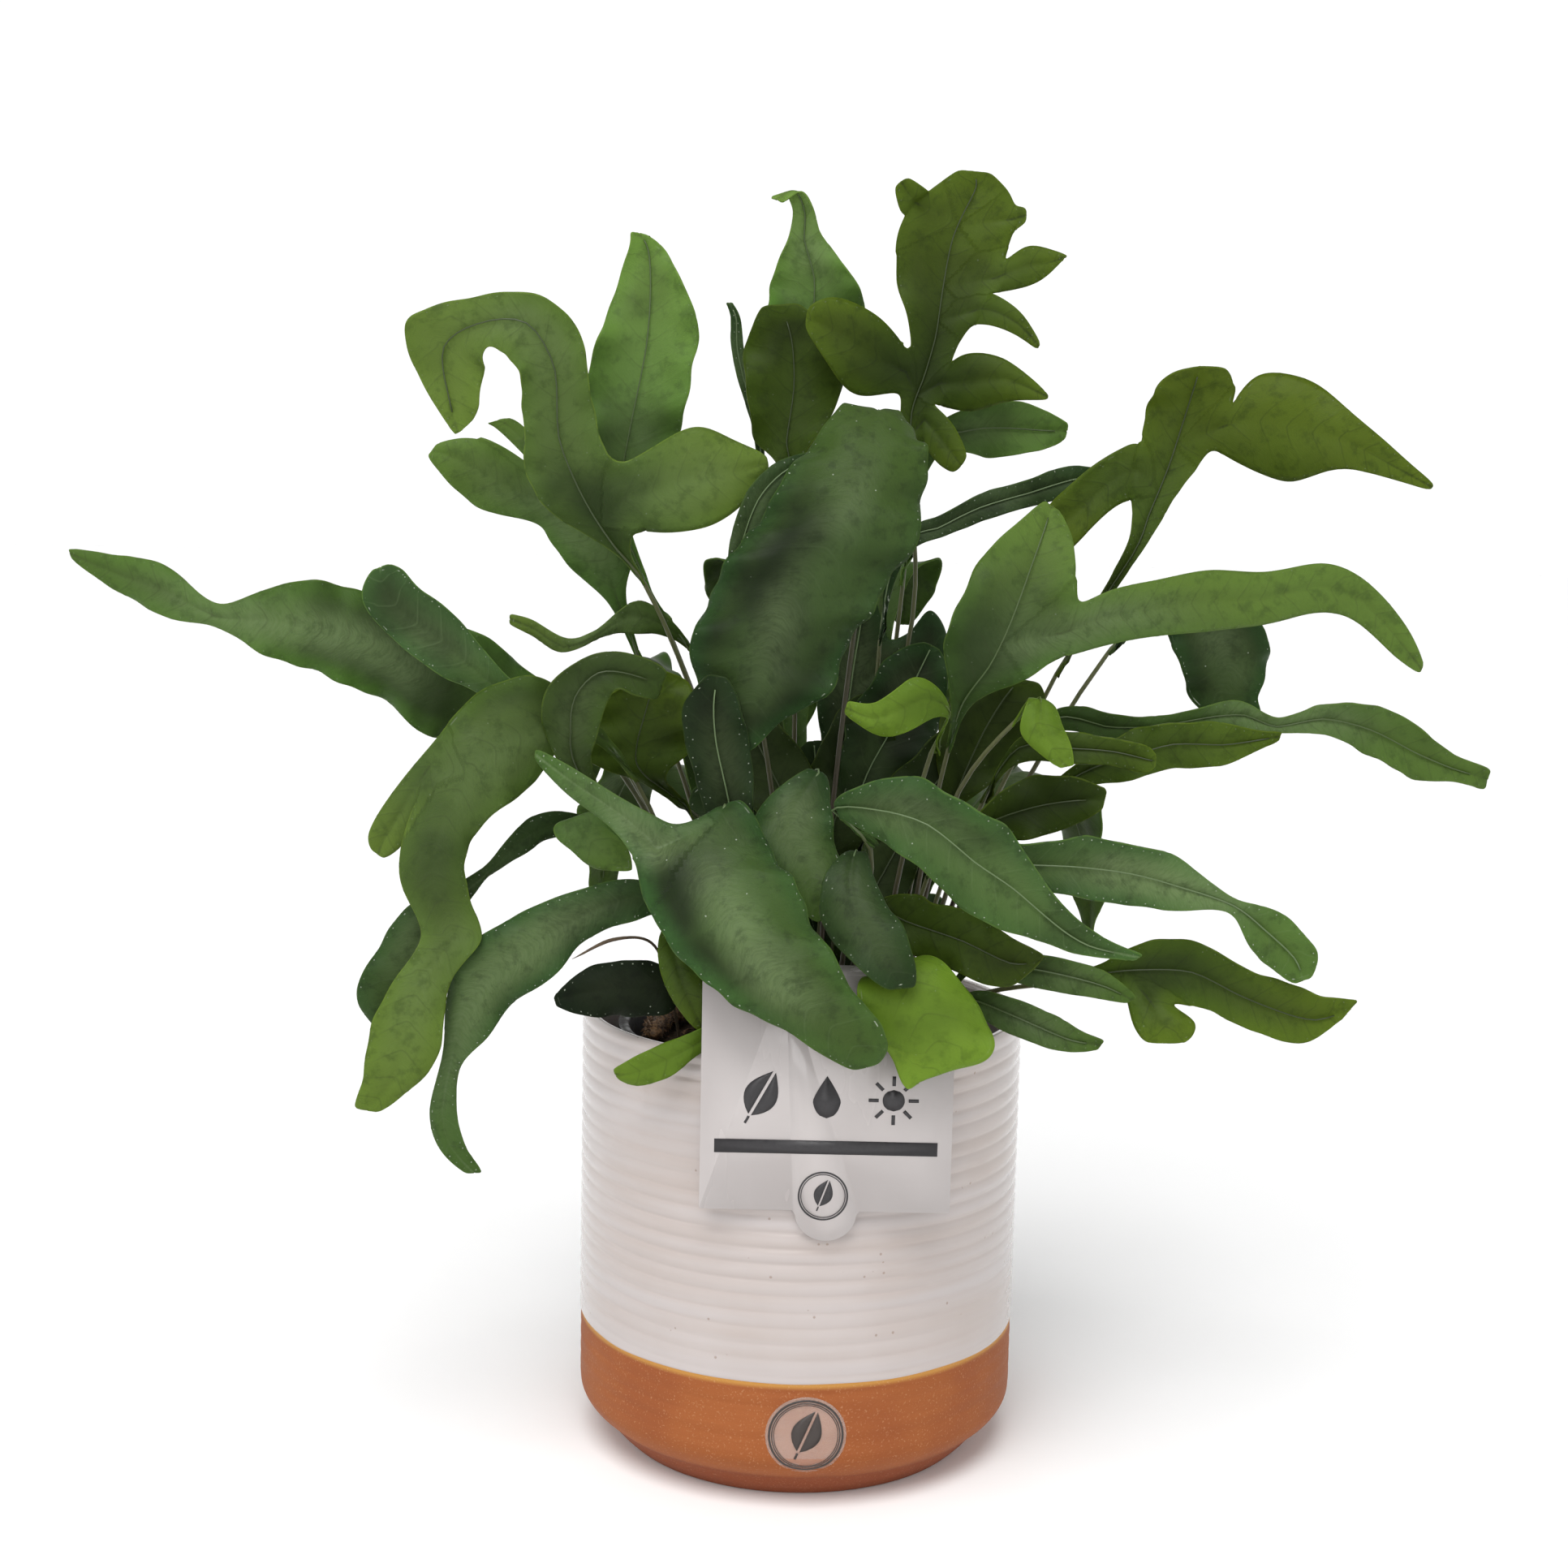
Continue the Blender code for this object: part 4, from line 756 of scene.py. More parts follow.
def dress_sheet(mesh, ribs, seed, leaf, wave_scale):
    """Measures each point's place on the blade, then shapes its halves, margins and waves."""
    points = read_vectors(mesh.vertices, "co")
    normals = read_vectors(mesh.vertex_normals, "vector")
    if normals[:, 1].mean() > 0:
        normals = -normals
    rib, vein, foot = nearest_on(ribs[0], points)
    length = norm(np.diff(np.array(ribs[0]), axis=0), axis=1).sum()
    ripe = vein / length
    for number, line in enumerate(ribs[1:]):
        gap, reached, place = nearest_on(line, points)
        closer = gap < rib
        reach = norm(np.diff(np.array(line), axis=0), axis=1).sum()
        rib[closer] = gap[closer]
        foot[closer] = place[closer]
        vein[closer] = reached[closer] + LOBE_VEIN_START * (number + 1)
        ripe[closer] = np.maximum(ripe, 0.15 + 0.85 * reached / reach)[closer]
    rims = boundary_distance(mesh, points)
    share = rib / np.maximum(rib + rims, 0.01)
    width = rib + rims
    flow = read_floats(mesh, "flow")
    side = np.sign(read_floats(mesh, "side"))
    phase = (seed % 97) / 97 * 2 * math.pi
    pitch = 24 + seed % 13
    waves = (np.sin(2 * math.pi * flow / pitch + phase + 1.4 * side)
             + 0.3 * np.sin(2 * math.pi * flow / (pitch * 0.43) + 2.1 * phase - side))
    ruffle = (np.sin(2 * math.pi * flow / (pitch * 0.9) + 3.3 * phase + 2.2 * side)
              + 0.4 * np.sin(2 * math.pi * flow / (pitch * 0.37) + 1.7 * phase - 2 * side))
    swell = np.array([noise.noise(Vector(point * 0.045 + phase)) for point in points])
    ripple = np.array([noise.noise(Vector(point * 0.16 - phase)) for point in points])
    broad = np.clip(width / 14, 0.15, 1.3)
    lift = (leaf.wave / MM * wave_scale * broad * share ** 2 * waves
            + broad * (1.9 * swell * share + 0.45 * ripple * np.sin(math.pi * share))
            + 0.07 * width * np.sin(math.pi * share)
            - 0.5 * np.exp(-(rib / 1.1) ** 2) * np.clip(width / 6, 0, 1))
    outward = (points - foot) / np.maximum(rib, 0.5)[:, None]
    spread = leaf.scallop / MM * broad * share ** 3 * (ruffle - 0.5)
    points = points + normals * lift[:, None] + outward * spread[:, None]
    mesh.vertices.foreach_set("co", (points * MM).ravel())
    for name, values in (("rib", rib), ("vein", vein), ("rim", rims), ("ripe", ripe)):
        write_floats(mesh, name, values)
    mesh.update()


def boundary_distance(mesh, points):
    """Each point's distance to the nearest free edge of the sheet, in mm."""
    edges = {}
    for face in mesh.polygons:
        for key in face.edge_keys:
            edges[key] = edges.get(key, 0) + 1
    rim = np.array([key for key, uses in edges.items() if uses == 1])
    starts, ends = points[rim[:, 0]], points[rim[:, 1]]
    samples = np.concatenate([starts, (starts + ends) / 2])
    distances = np.empty(len(points))
    for first in range(0, len(points), 512):
        block = points[first:first + 512]
        distances[first:first + 512] = np.sqrt(((block[:, None,
                                                       :] - samples[None]) ** 2).sum(2)).min(axis=1)
    return distances


def add_stalk(bm, curve, stem_count, leaf, layers):
    """The round stalk that runs on as the blade's rib and fades out at its tip."""
    line = middles_of(curve)
    blade_start = (stem_count - 1) * ROW_STEPS
    gaps = norm(np.diff(np.array(line), axis=0), axis=1)
    reached = np.concatenate([[0], np.cumsum(gaps)])
    total = reached[-1]
    stalk_length = reached[blade_start]
    fine = blend(line, 2)
    radii = []
    climbs = []
    for i in range(len(fine)):
        here = np.interp(i / 2, range(len(line)), reached)
        if here < stalk_length:
            climb = here / stalk_length
            radius = leaf.stalk_radius / MM * (1 - 0.25 * climb)
        else:
            climb = 1 + (here - stalk_length) / (total - stalk_length)
            radius = leaf.stalk_radius / MM * (0.24 + 0.51 * (2 - climb) ** 12)
        radii.append(max(radius, 0.2))
        climbs.append(climb)
    trim = max(2, len(fine) - 2)
    rings = add_tube(bm, fine[:trim], radii[:trim], 8, material=1)
    for ring, climb in zip(rings, climbs):
        for vertex in ring:
            vertex[layers["climb"]] = climb
            vertex[layers["rim"]] = 5.0


def build_frond(short, stem_rows, blade_rows, lobes, look, leaf, finishes, has_node=True):
    """One frond: blade and lobes as a thin closed sheet, with its stalk and rib."""
    name = f"leaf_{short}"
    finish, youth, brightness = look
    width = max(norm(row[3:] - row[:3]) for row in blade_rows)
    levels = leaf.smoothness if width > LARGE_BLADE else max(leaf.smoothness - 1, 1)
    bm, ribs, curve = frond_sheet(stem_rows, blade_rows, lobes)
    sheet = smoothed(name, bm, levels)
    wave_scale = 0.55 if lobes else 1.0
    dress_sheet(sheet, ribs, seed_of(name), leaf, wave_scale)
    holder = linked(name, sheet)
    thicken(holder, "leaf thickness", leaf.thickness)
    solid = applied(holder)
    bm = bmesh.new()
    bm.from_mesh(solid)
    bpy.data.meshes.remove(solid)
    layers = {key: bm.verts.layers.float.get(key) or bm.verts.layers.float.new(key)
              for key in ("rib", "vein", "rim", "ripe", "climb", "youth", "brightness")}
    add_stalk(bm, curve, len(stem_rows), leaf, layers)
    # Every vertex carries the frond's youth and its painted light and shade factor.
    for vertex in bm.verts:
        vertex[layers["youth"]] = youth
        vertex[layers["brightness"]] = brightness
    piece = mesh_object(name, bm, [finishes[finish], finishes[finish + "_stalk"]], face_outward=False)
    slot = "leaf_dark" if brightness < PAINTED_SHADE_LIMIT else LEAF_SLOTS.get(finish, "leaf_" + finish)
    stand_for(piece, slot, *([f"frond_{short}"] if has_node else []))


def leaf_material(name, colours):
    """A leaf finish: cloudy flesh with painted shade, feathery bloom by the rib with painted sheen, faint
    veins, fresh margin with a painted highlight at its edge, dots, and painted light and shade for each
    frond.
    """
    flesh, deep, bloom, rib_colour, margin, young, bloom_and_sheen_amount = colours
    recipe = Recipe(f"leaf_{name}", roughness=0.5, specular_ior_level=0.09)
    recipe.shader.inputs["Subsurface Weight"].default_value = 0.08
    recipe.shader.inputs["Subsurface Radius"].default_value = (0.35, 0.6, 0.12)
    recipe.shader.inputs["Subsurface Scale"].default_value = 0.0012
    recipe.shader.inputs["Sheen Weight"].default_value = 0.02 if name == "glaucous" else 0.0
    recipe.shader.inputs["Sheen Roughness"].default_value = 0.5
    rib, vein, rim = (recipe.attribute(key) for key in ("rib", "vein", "rim"))
    ripe, youth, brightness = (recipe.attribute(key) for key in ("ripe", "youth", "brightness"))
    place = recipe.place()
    cloud = recipe.noise(place, 17.0, 3.0, 0.5)
    slant = recipe.minus(vein, recipe.times(rib, 0.9))
    wander = recipe.times(recipe.noise(place, 130.0, 2.0), 5.0)
    grain = recipe.vector(recipe.plus(slant, wander), recipe.times(rib, 0.35))
    broad = recipe.noise(recipe.stretch(place, (1.0, 1.0, 1.0), (3.1, 1.7, 0.4)), 17.0, 2.0)
    mottle = recipe.noise(place, 210.0, 4.0, 0.65)
    streak = recipe.noise(grain, 1.0, 3.0, 0.65)
    fine_streak = recipe.noise(grain, 2.2, 2.0, 0.6)
    # Cloudy patches of the deep colour: partly the leaf's own darker tone, partly painted shade.
    colour = recipe.mix(recipe.rise(cloud, 0.42, 0.57), deep, flesh)
    at_margin = recipe.times(recipe.rise(rim, 8.0, 0.5), recipe.rise(broad, 0.4, 0.6, 0.35, 0.95))
    colour = recipe.mix(at_margin, colour, margin)
    at_tip = recipe.times(recipe.rise(ripe, 0.35, 1.0), youth)
    at_base = recipe.times(recipe.rise(ripe, 0.5, 0.0), recipe.times(youth, -1.0))
    colour = recipe.mix(recipe.sums("MAXIMUM", at_tip, at_base), colour, young)
    # The pale feathery patch by the rib: the leaf's waxy bloom, and also a painted sheen.
    near_rib = recipe.rise(rib, 12.0, 0.5)
    feather = recipe.times(near_rib, recipe.rise(streak, 0.35, 0.62, 0.7, 1.0))
    window = recipe.times(recipe.rise(ripe, 0.02, 0.4), recipe.rise(ripe, 1.0, 0.6))
    bloom_and_sheen_patch = recipe.times(recipe.times(feather, window), recipe.rise(broad, 0.42, 0.58, 0.2, 1.0))
    colour = recipe.mix(recipe.times(bloom_and_sheen_patch, bloom_and_sheen_amount), colour, bloom)
    colour = recipe.mix(recipe.rise(fine_streak, 0.4, 0.7, 0.0, 0.08), colour, deep)
    colour = recipe.mix(recipe.rise(mottle, 0.48, 0.7, 0.0, 0.4), colour, deep)
    bent = recipe.plus(slant, recipe.times(cloud, 7.0))
    side_vein = recipe.sums("PINGPONG", bent, 4.3)
    faint = recipe.times(recipe.rise(side_vein, 0.5, 0.0, 0.0, 0.1 if name == "glaucous" else 0.26),
                         recipe.rise(rib, 11.0, 3.0))
    colour = recipe.mix(faint, colour, rib_colour)
    colour = recipe.mix(recipe.times(recipe.rise(rib, 0.75, 0.15, 0.0, 0.6),
                                     recipe.rise(streak, 0.3, 0.6, 0.4, 1.0)), colour, rib_colour)
    # A thin band of young colour at the very edge is a painted highlight along the margin.
    colour = recipe.mix(recipe.rise(rim, 0.5, 0.1, 0.0, 0.5), colour, young)
    dots_at = recipe.vector(recipe.times(vein, 0.15), recipe.times(rib, 0.15))
    dot = recipe.cells(dots_at, 1.0)
    chosen = recipe.add("ShaderNodeSeparateColor", {0: recipe.cells(dots_at, 1.0, output="Color")}, 0)
    specks = recipe.times(recipe.rise(dot, 0.05, 0.025), recipe.sums("GREATER_THAN", chosen, 0.55))
    row = recipe.times(recipe.rise(recipe.sums("PINGPONG", vein, 1.4), 0.22, 0.1),
                       recipe.rise(recipe.sums("ABSOLUTE", recipe.minus(rim, 1.1)), 0.22, 0.1))
    row = recipe.times(row, recipe.rise(mottle, 0.46, 0.56, 0.1, 1.0))
    dots = recipe.times(recipe.sums("MAXIMUM", specks, row), 0.75 if name == "glaucous" else 0.15)
    # Painted light and shade: each frond is lightened or darkened by its own factor, and the blade darkens
    # towards its base, mostly as painted shade from inside the bush.
    shade = recipe.times(brightness, recipe.rise(ripe, -0.1, 0.4, 0.68, 1.0))
    shade = recipe.add("ShaderNodeCombineColor", {0: shade, 1: shade, 2: shade})
    colour = recipe.mix(1.0, colour, shade, "MULTIPLY")
    colour = recipe.mix(dots, colour, (0.34, 0.38, 0.3))
    roughness = recipe.rise(recipe.noise(place, 60.0, 2.0), 0.3, 0.7, 0.42, 0.6)
    relief = recipe.plus(recipe.rise(side_vein, 1.4, 0.0, 0.0, 0.35), recipe.times(fine_streak, 0.5))
    relief = recipe.plus(relief, recipe.times(mottle, 0.7))
    return recipe.finish(colour, roughness, recipe.bump(relief, 0.0003, 0.55))


def stalk_material(name, colours):
    """A stalk: nearly black at the soil, greener above, and the rib's colour on the blade."""
    recipe = Recipe(f"stalk_{name}", roughness=0.42, specular_ior_level=0.5)
    climb = recipe.attribute("climb")
    streak = recipe.noise(recipe.stretch(recipe.place(), (900.0, 900.0, 60.0)), 1.0, 2.0)
    dark = recipe.mix(streak, (0.018, 0.012, 0.006), (0.05, 0.035, 0.014))
    green = recipe.mix(streak, (0.05, 0.058, 0.018), (0.1, 0.11, 0.035))
    colour = recipe.mix(recipe.rise(climb, 0.35, 1.0), dark, green)
    on_blade = recipe.mix(0.45, colours[3], colours[0])
    colour = recipe.mix(recipe.rise(climb, 0.98, 1.12), colour, on_blade)
    return recipe.finish(colour, None, recipe.bump(streak, 0.0002, 0.4))


# ---- the pots ----
SHOULDER = ((0.3, 20.0), (0.8, 16.0), (3.0, 12.4), (7.0, 9.0))


def clay_radius(height):
    """Outer radius of the cover pot's bare wall at a height, in mm."""
    insets, heights = zip(*SHOULDER[::-1])
    return POT_RADIUS - float(np.interp(height, heights, insets))


def pot_profile(pot):
    """The cover pot's wall from the middle of its inside floor over the rim to its foot."""
    inner, outer, top = POT_RADIUS - POT_WALL, POT_RADIUS, POT_HEIGHT
    line = pot.glaze_line / MM
    profile = [(0, 8.0), (inner - 8, 8.0), (inner - 2, 9.6), (inner, 14.0)]
    profile += [(inner, z) for z in np.arange(40, top - 3, 8)]
    profile += [(outer - POT_WALL / 2 * (1 + math.cos(a)), top - 2 + 2 * math.sin(a))
                for a in np.linspace(0, math.pi, 13)]
    profile += [(outer, z) for z in np.arange(top - 2.5, line + 0.6, -0.45)]
    profile += [(outer - 0.05, line + 0.5), (outer - 0.16, line + 0.2), (outer - 0.3, line)]
    profile += [(outer - 0.3, z) for z in np.arange(line - 0.5, 20, -0.6)]
    shoulder = blend([(outer - inset, height) for inset, height in SHOULDER], 6)
    foot = blend([(outer - 7.4, 8.7), (outer - 10.6, 4.6), (outer - 14.0, 1.2), (outer - 15.6, 0.1),
                  (outer - 17.0, 0.0)], 5)
    profile += [tuple(point) for point in shoulder + foot]
    return profile + [(outer - 22, 0.0), (outer - 24, 1.0), (0, 1.0)]


def groove_depth(pot, angle, z):
    """How deep the throwing grooves cut at a place on the outer wall, in mm."""
    line = pot.glaze_line / MM
    swirl = 0.8 * math.sin(angle + 0.7) + 0.35 * math.sin(3 * angle + z * 0.05)
    place = (z + swirl + 0.8 * noise.noise(Vector((0, 0, z * 0.11)))) / (pot.rib_pitch / MM)
    ridge = abs(math.sin(math.pi * place)) ** 0.8
    strength = 0.35 + 0.65 * float(smooth(z, line, line + 45))
    if z < line:
        strength = 0.3 * float(smooth(z, 18, 24))
    local = 0.75 + 0.5 * noise.noise(Vector((math.cos(angle) * 1.6, math.sin(angle) * 1.6, z * 0.05)))
    return pot.rib_depth / MM * strength * local * (1 - ridge)


def glaze_material(pot):
    """Grey-white glaze with warm bands, grooves darkened with painted shade, and small dark pits."""
    recipe = Recipe("glaze", roughness=0.16, ior=1.52)
    recipe.shader.inputs["Coat Weight"].default_value = 0.4
    recipe.shader.inputs["Coat Roughness"].default_value = 0.06
    place = recipe.place()
    bands = recipe.noise(recipe.stretch(place, (6.0, 6.0, 130.0)), 1.0, 3.0)
    cloud = recipe.noise(place, 22.0, 3.0)
    groove = recipe.attribute("groove")
    base = tuple(pot.glaze_colour)
    warm = tuple(value * share for value, share in zip(base, (0.93, 0.88, 0.83)))
    pale = tuple(min(1.0, value * 1.08) for value in base)
    colour = recipe.mix(recipe.rise(bands, 0.3, 0.7), warm, base)
    colour = recipe.mix(recipe.rise(cloud, 0.4, 0.7, 0.0, 0.5), colour, pale)
    # Painted shade: the throwing grooves are darkened towards the warm colour.
    colour = recipe.mix(recipe.rise(groove, 0.0, 0.35, 0.0, 0.35), colour, warm)
    pits = recipe.cells(recipe.stretch(place, (260.0, 260.0, 260.0)), 1.0)
    few = recipe.noise(place, 70.0, 0.0)
    specks = recipe.times(recipe.rise(pits, 0.14, 0.08), recipe.rise(few, 0.62, 0.66))
    colour = recipe.mix(recipe.times(specks, 0.6), colour, (0.25, 0.17, 0.12))
    fingers = recipe.noise(recipe.stretch(place, (25.0, 25.0, 300.0)), 1.0, 2.0)
    relief = recipe.minus(fingers, specks)
    roughness = recipe.rise(cloud, 0.3, 0.8, 0.12, 0.24)
    return recipe.finish(colour, roughness, recipe.bump(relief, 0.0002, 0.35))


def clay_material(pot):
    """Bare terracotta: banded, with an amber line under the glaze and a darker foot."""
    recipe = Recipe("bare_clay", roughness=0.62, specular_ior_level=0.15)
    place = recipe.place()
    height = recipe.height()
    body, foot = tuple(pot.clay_colour), tuple(pot.foot_colour)
    light = tuple(min(1.0, value * share) for value, share in zip(body, (1.15, 1.22, 1.35)))
    bands = recipe.noise(recipe.stretch(place, (8.0, 8.0, 170.0)), 1.0, 4.0, 0.6)
    cloud = recipe.noise(place, 30.0, 4.0)
    grain = recipe.noise(place, 1500.0, 2.0)
    colour = recipe.mix(recipe.rise(bands, 0.3, 0.72), body, light)
    colour = recipe.mix(recipe.rise(cloud, 0.45, 0.7, 0.0, 0.4), colour, foot)
    under = recipe.plus(height, recipe.times(cloud, 0.002))
    colour = recipe.mix(recipe.rise(under, 0.0115, 0.0092), colour, foot)
    line = pot.glaze_line
    edge = recipe.rise(height, line - 0.0022, line - 0.0003, 0.0, 0.7)
    colour = recipe.mix(edge, colour, (0.56, 0.3, 0.07))
    colour = recipe.mix(recipe.rise(grain, 0.58, 0.75, 0.0, 0.3), colour, (0.62, 0.36, 0.2))
    relief = recipe.plus(bands, recipe.times(grain, 0.4))
    return recipe.finish(colour, recipe.rise(bands, 0.2, 0.8, 0.5, 0.7), recipe.bump(relief, 0.0003, 0.6))


class FERN_OT_cover_pot(bpy.types.Operator):
    """Thrown ceramic cover pot: ribbed glaze above, bare clay below"""
    bl_idname = "fern.cover_pot"
    bl_label = "Cover pot"

    def execute(self, context):
        pot = context.scene.fern_pot
        line = pot.glaze_line / MM
        outer_from = POT_RADIUS - 1.0

        def thrown(angle, radius, z):
            edge = 0.35 * noise.noise(Vector((math.cos(angle) * 3, math.sin(angle) * 3, 5)))
            lift = edge * max(0.0, 1 - abs(z - line) / 6)
            if radius > outer_from and 18 < z < POT_HEIGHT - 2:
                radius -= groove_depth(pot, angle, z)
            return radius, z + lift

        bm = bmesh.new()
        groove = bm.verts.layers.float.new("groove")
        profile, turns = pot_profile(pot), 240
        add_lathe(bm, profile, turns, thrown)
        # The groove depth drives the glaze's painted shade in the grooves.
        for vertex in bm.verts:
            radius = math.hypot(vertex.co.x, vertex.co.y) / MM
            if radius > outer_from and vertex.co.z > line * MM:
                vertex[groove] = POT_RADIUS - radius
        bare_from = profile.index((POT_RADIUS - 0.3, line)) * turns
        for index, face in enumerate(bm.faces):
            face.material_index = int(index >= bare_from)
        piece = mesh_object("cover_pot_thrown", bm, [glaze_material(pot), clay_material(pot)])
        stand_for(piece, "glazed_clay", "cover_pot")
        return {"FINISHED"}


class FERN_OT_nursery_pot(bpy.types.Operator):
    """Black plastic grower's pot inside the cover pot"""
    bl_idname = "fern.nursery_pot"
    bl_label = "Nursery pot"

    def execute(self, context):
        top, rim = NURSERY_TOP, NURSERY_RIM
        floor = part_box("nursery_pot")[0][2] / MM
        profile = [(0, floor + 1.2), (44.6, floor + 1.2), (rim - 3.8, top - 1.0), (rim - 3.3, top - 0.3),
                   (rim - 2.6, top), (rim - 0.8, top), (rim - 0.2, top - 0.3), (rim, top - 0.9),
                   (rim - 0.1, top - 5.0), (rim - 0.9, top - 5.0), (rim - 1.0, top - 1.8),
                   (rim - 2.4, top - 2.4), (46.0, floor + 0.4), (45.5, floor), (0, floor)]
        bm = bmesh.new()
        add_lathe(bm, profile, 128)
        recipe = Recipe("black_plastic", roughness=0.45)
        place = recipe.place()
        dust = recipe.noise(place, 180.0, 4.0, 0.7)
        colour = recipe.mix(recipe.rise(dust, 0.5, 0.75, 0.0, 0.6), (0.012, 0.012, 0.013),
                            (0.06, 0.045, 0.035))
        material = recipe.finish(colour, recipe.rise(dust, 0.4, 0.7, 0.35, 0.7),
                                 recipe.bump(recipe.noise(place, 900.0), 0.0001, 0.4))
        piece = mesh_object("grower_pot", bm, [material], 40)
        stand_for(piece, "nursery_plastic", "nursery_pot")
        return {"FINISHED"}


# ---- what lies in the pot ----
def soil_material():
    """Damp, lumpy, nearly black potting mix."""
    recipe = Recipe("potting_mix", roughness=0.95, specular_ior_level=0.25)
    place = recipe.place()
    lumps = recipe.noise(place, 420.0, 4.0, 0.7)
    damp = recipe.noise(place, 60.0, 3.0)
    colour = recipe.mix(recipe.rise(lumps, 0.35, 0.65), (0.012, 0.008, 0.005), (0.075, 0.045, 0.026))
    colour = recipe.mix(recipe.rise(damp, 0.45, 0.65, 0.0, 0.6), colour, (0.02, 0.013, 0.008))
    return recipe.finish(colour, None, recipe.bump(lumps, 0.0012, 0.9))


def bark_material():
    """Brown bark with a fibrous grain."""
    recipe = Recipe("bark_bits", roughness=0.9, specular_ior_level=0.25)
    place = recipe.place()
    tone = recipe.noise(place, 120.0, 2.0)
    grain = recipe.noise(recipe.stretch(place, (900.0, 250.0, 900.0)), 1.0, 3.0)
    colour = recipe.mix(recipe.rise(tone, 0.35, 0.65), (0.03, 0.017, 0.009), (0.13, 0.07, 0.035))
    colour = recipe.mix(recipe.rise(grain, 0.4, 0.7, 0.0, 0.5), colour, (0.2, 0.12, 0.07))
    return recipe.finish(colour, None, recipe.bump(grain, 0.0004, 0.8))


class FERN_OT_soil(bpy.types.Operator):
    """Lumpy potting mix with bits of bark on top"""
    bl_idname = "fern.soil"
    bl_label = "Potting mix"

    def execute(self, context):
        low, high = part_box("potting_soil")
        edge, floor = high[0] / MM, low[2] / MM
        rng = np.random.default_rng(11)

        def lumpy(angle, radius, z):
            if z < SOIL_TOP - 4:
                return radius, z
            place = Vector((radius * math.cos(angle), radius * math.sin(angle), 0))
            lift = 1.6 * noise.noise(place * 0.09) + 0.9 * noise.noise(place * 0.35)
            return radius, z + min(lift, 1.4)

        profile = [(0, SOIL_TOP)] + [(r, SOIL_TOP) for r in np.arange(0.9, edge - 1.5, 0.9)]
        profile += [(edge - 0.9, SOIL_TOP - 1.2), (edge - 1.1, SOIL_TOP - 5), (edge - 10.5, floor + 1),
                    (0, floor + 1)]
        bm = bmesh.new()
        add_lathe(bm, profile, 144, lumpy)
        soil = mesh_object("potting_mix", bm, [soil_material()])
        stand_for(soil, "potting_mix", "potting_soil")
        bm = bmesh.new()
        for _ in range(260):
            angle, radius = rng.uniform(0, 2 * math.pi), (edge - 4) * rng.uniform(0, 1) ** 0.5
            size = rng.uniform(1.2, 4.2)
            spot = Vector((radius * math.cos(angle), radius * math.sin(angle),
                           SOIL_TOP + 0.5 + rng.uniform(-0.6, 1.0)))
            turn = Matrix.Rotation(rng.uniform(0, 6.3), 4, "Z")
            tilt = Matrix.Rotation(rng.uniform(-0.5, 0.5), 4, "X")
            form = Matrix.Diagonal((size, size * rng.uniform(0.4, 0.9), size * rng.uniform(0.2, 0.5), 1.0))
            made = bmesh.ops.create_icosphere(bm, subdivisions=1, radius=0.5,
                                              matrix=Matrix.Translation(spot) @ turn @ tilt @ form)
            for vertex in made["verts"]:
                vertex.co += Vector(rng.normal(0, 0.09 * size, 3))
        bmesh.ops.scale(bm, vec=(MM, MM, MM), verts=bm.verts)
        bark = mesh_object("bark_bits", bm, [bark_material()], 25, face_outward=False)
        stand_for(bark, "potting_mix")
        return {"FINISHED"}


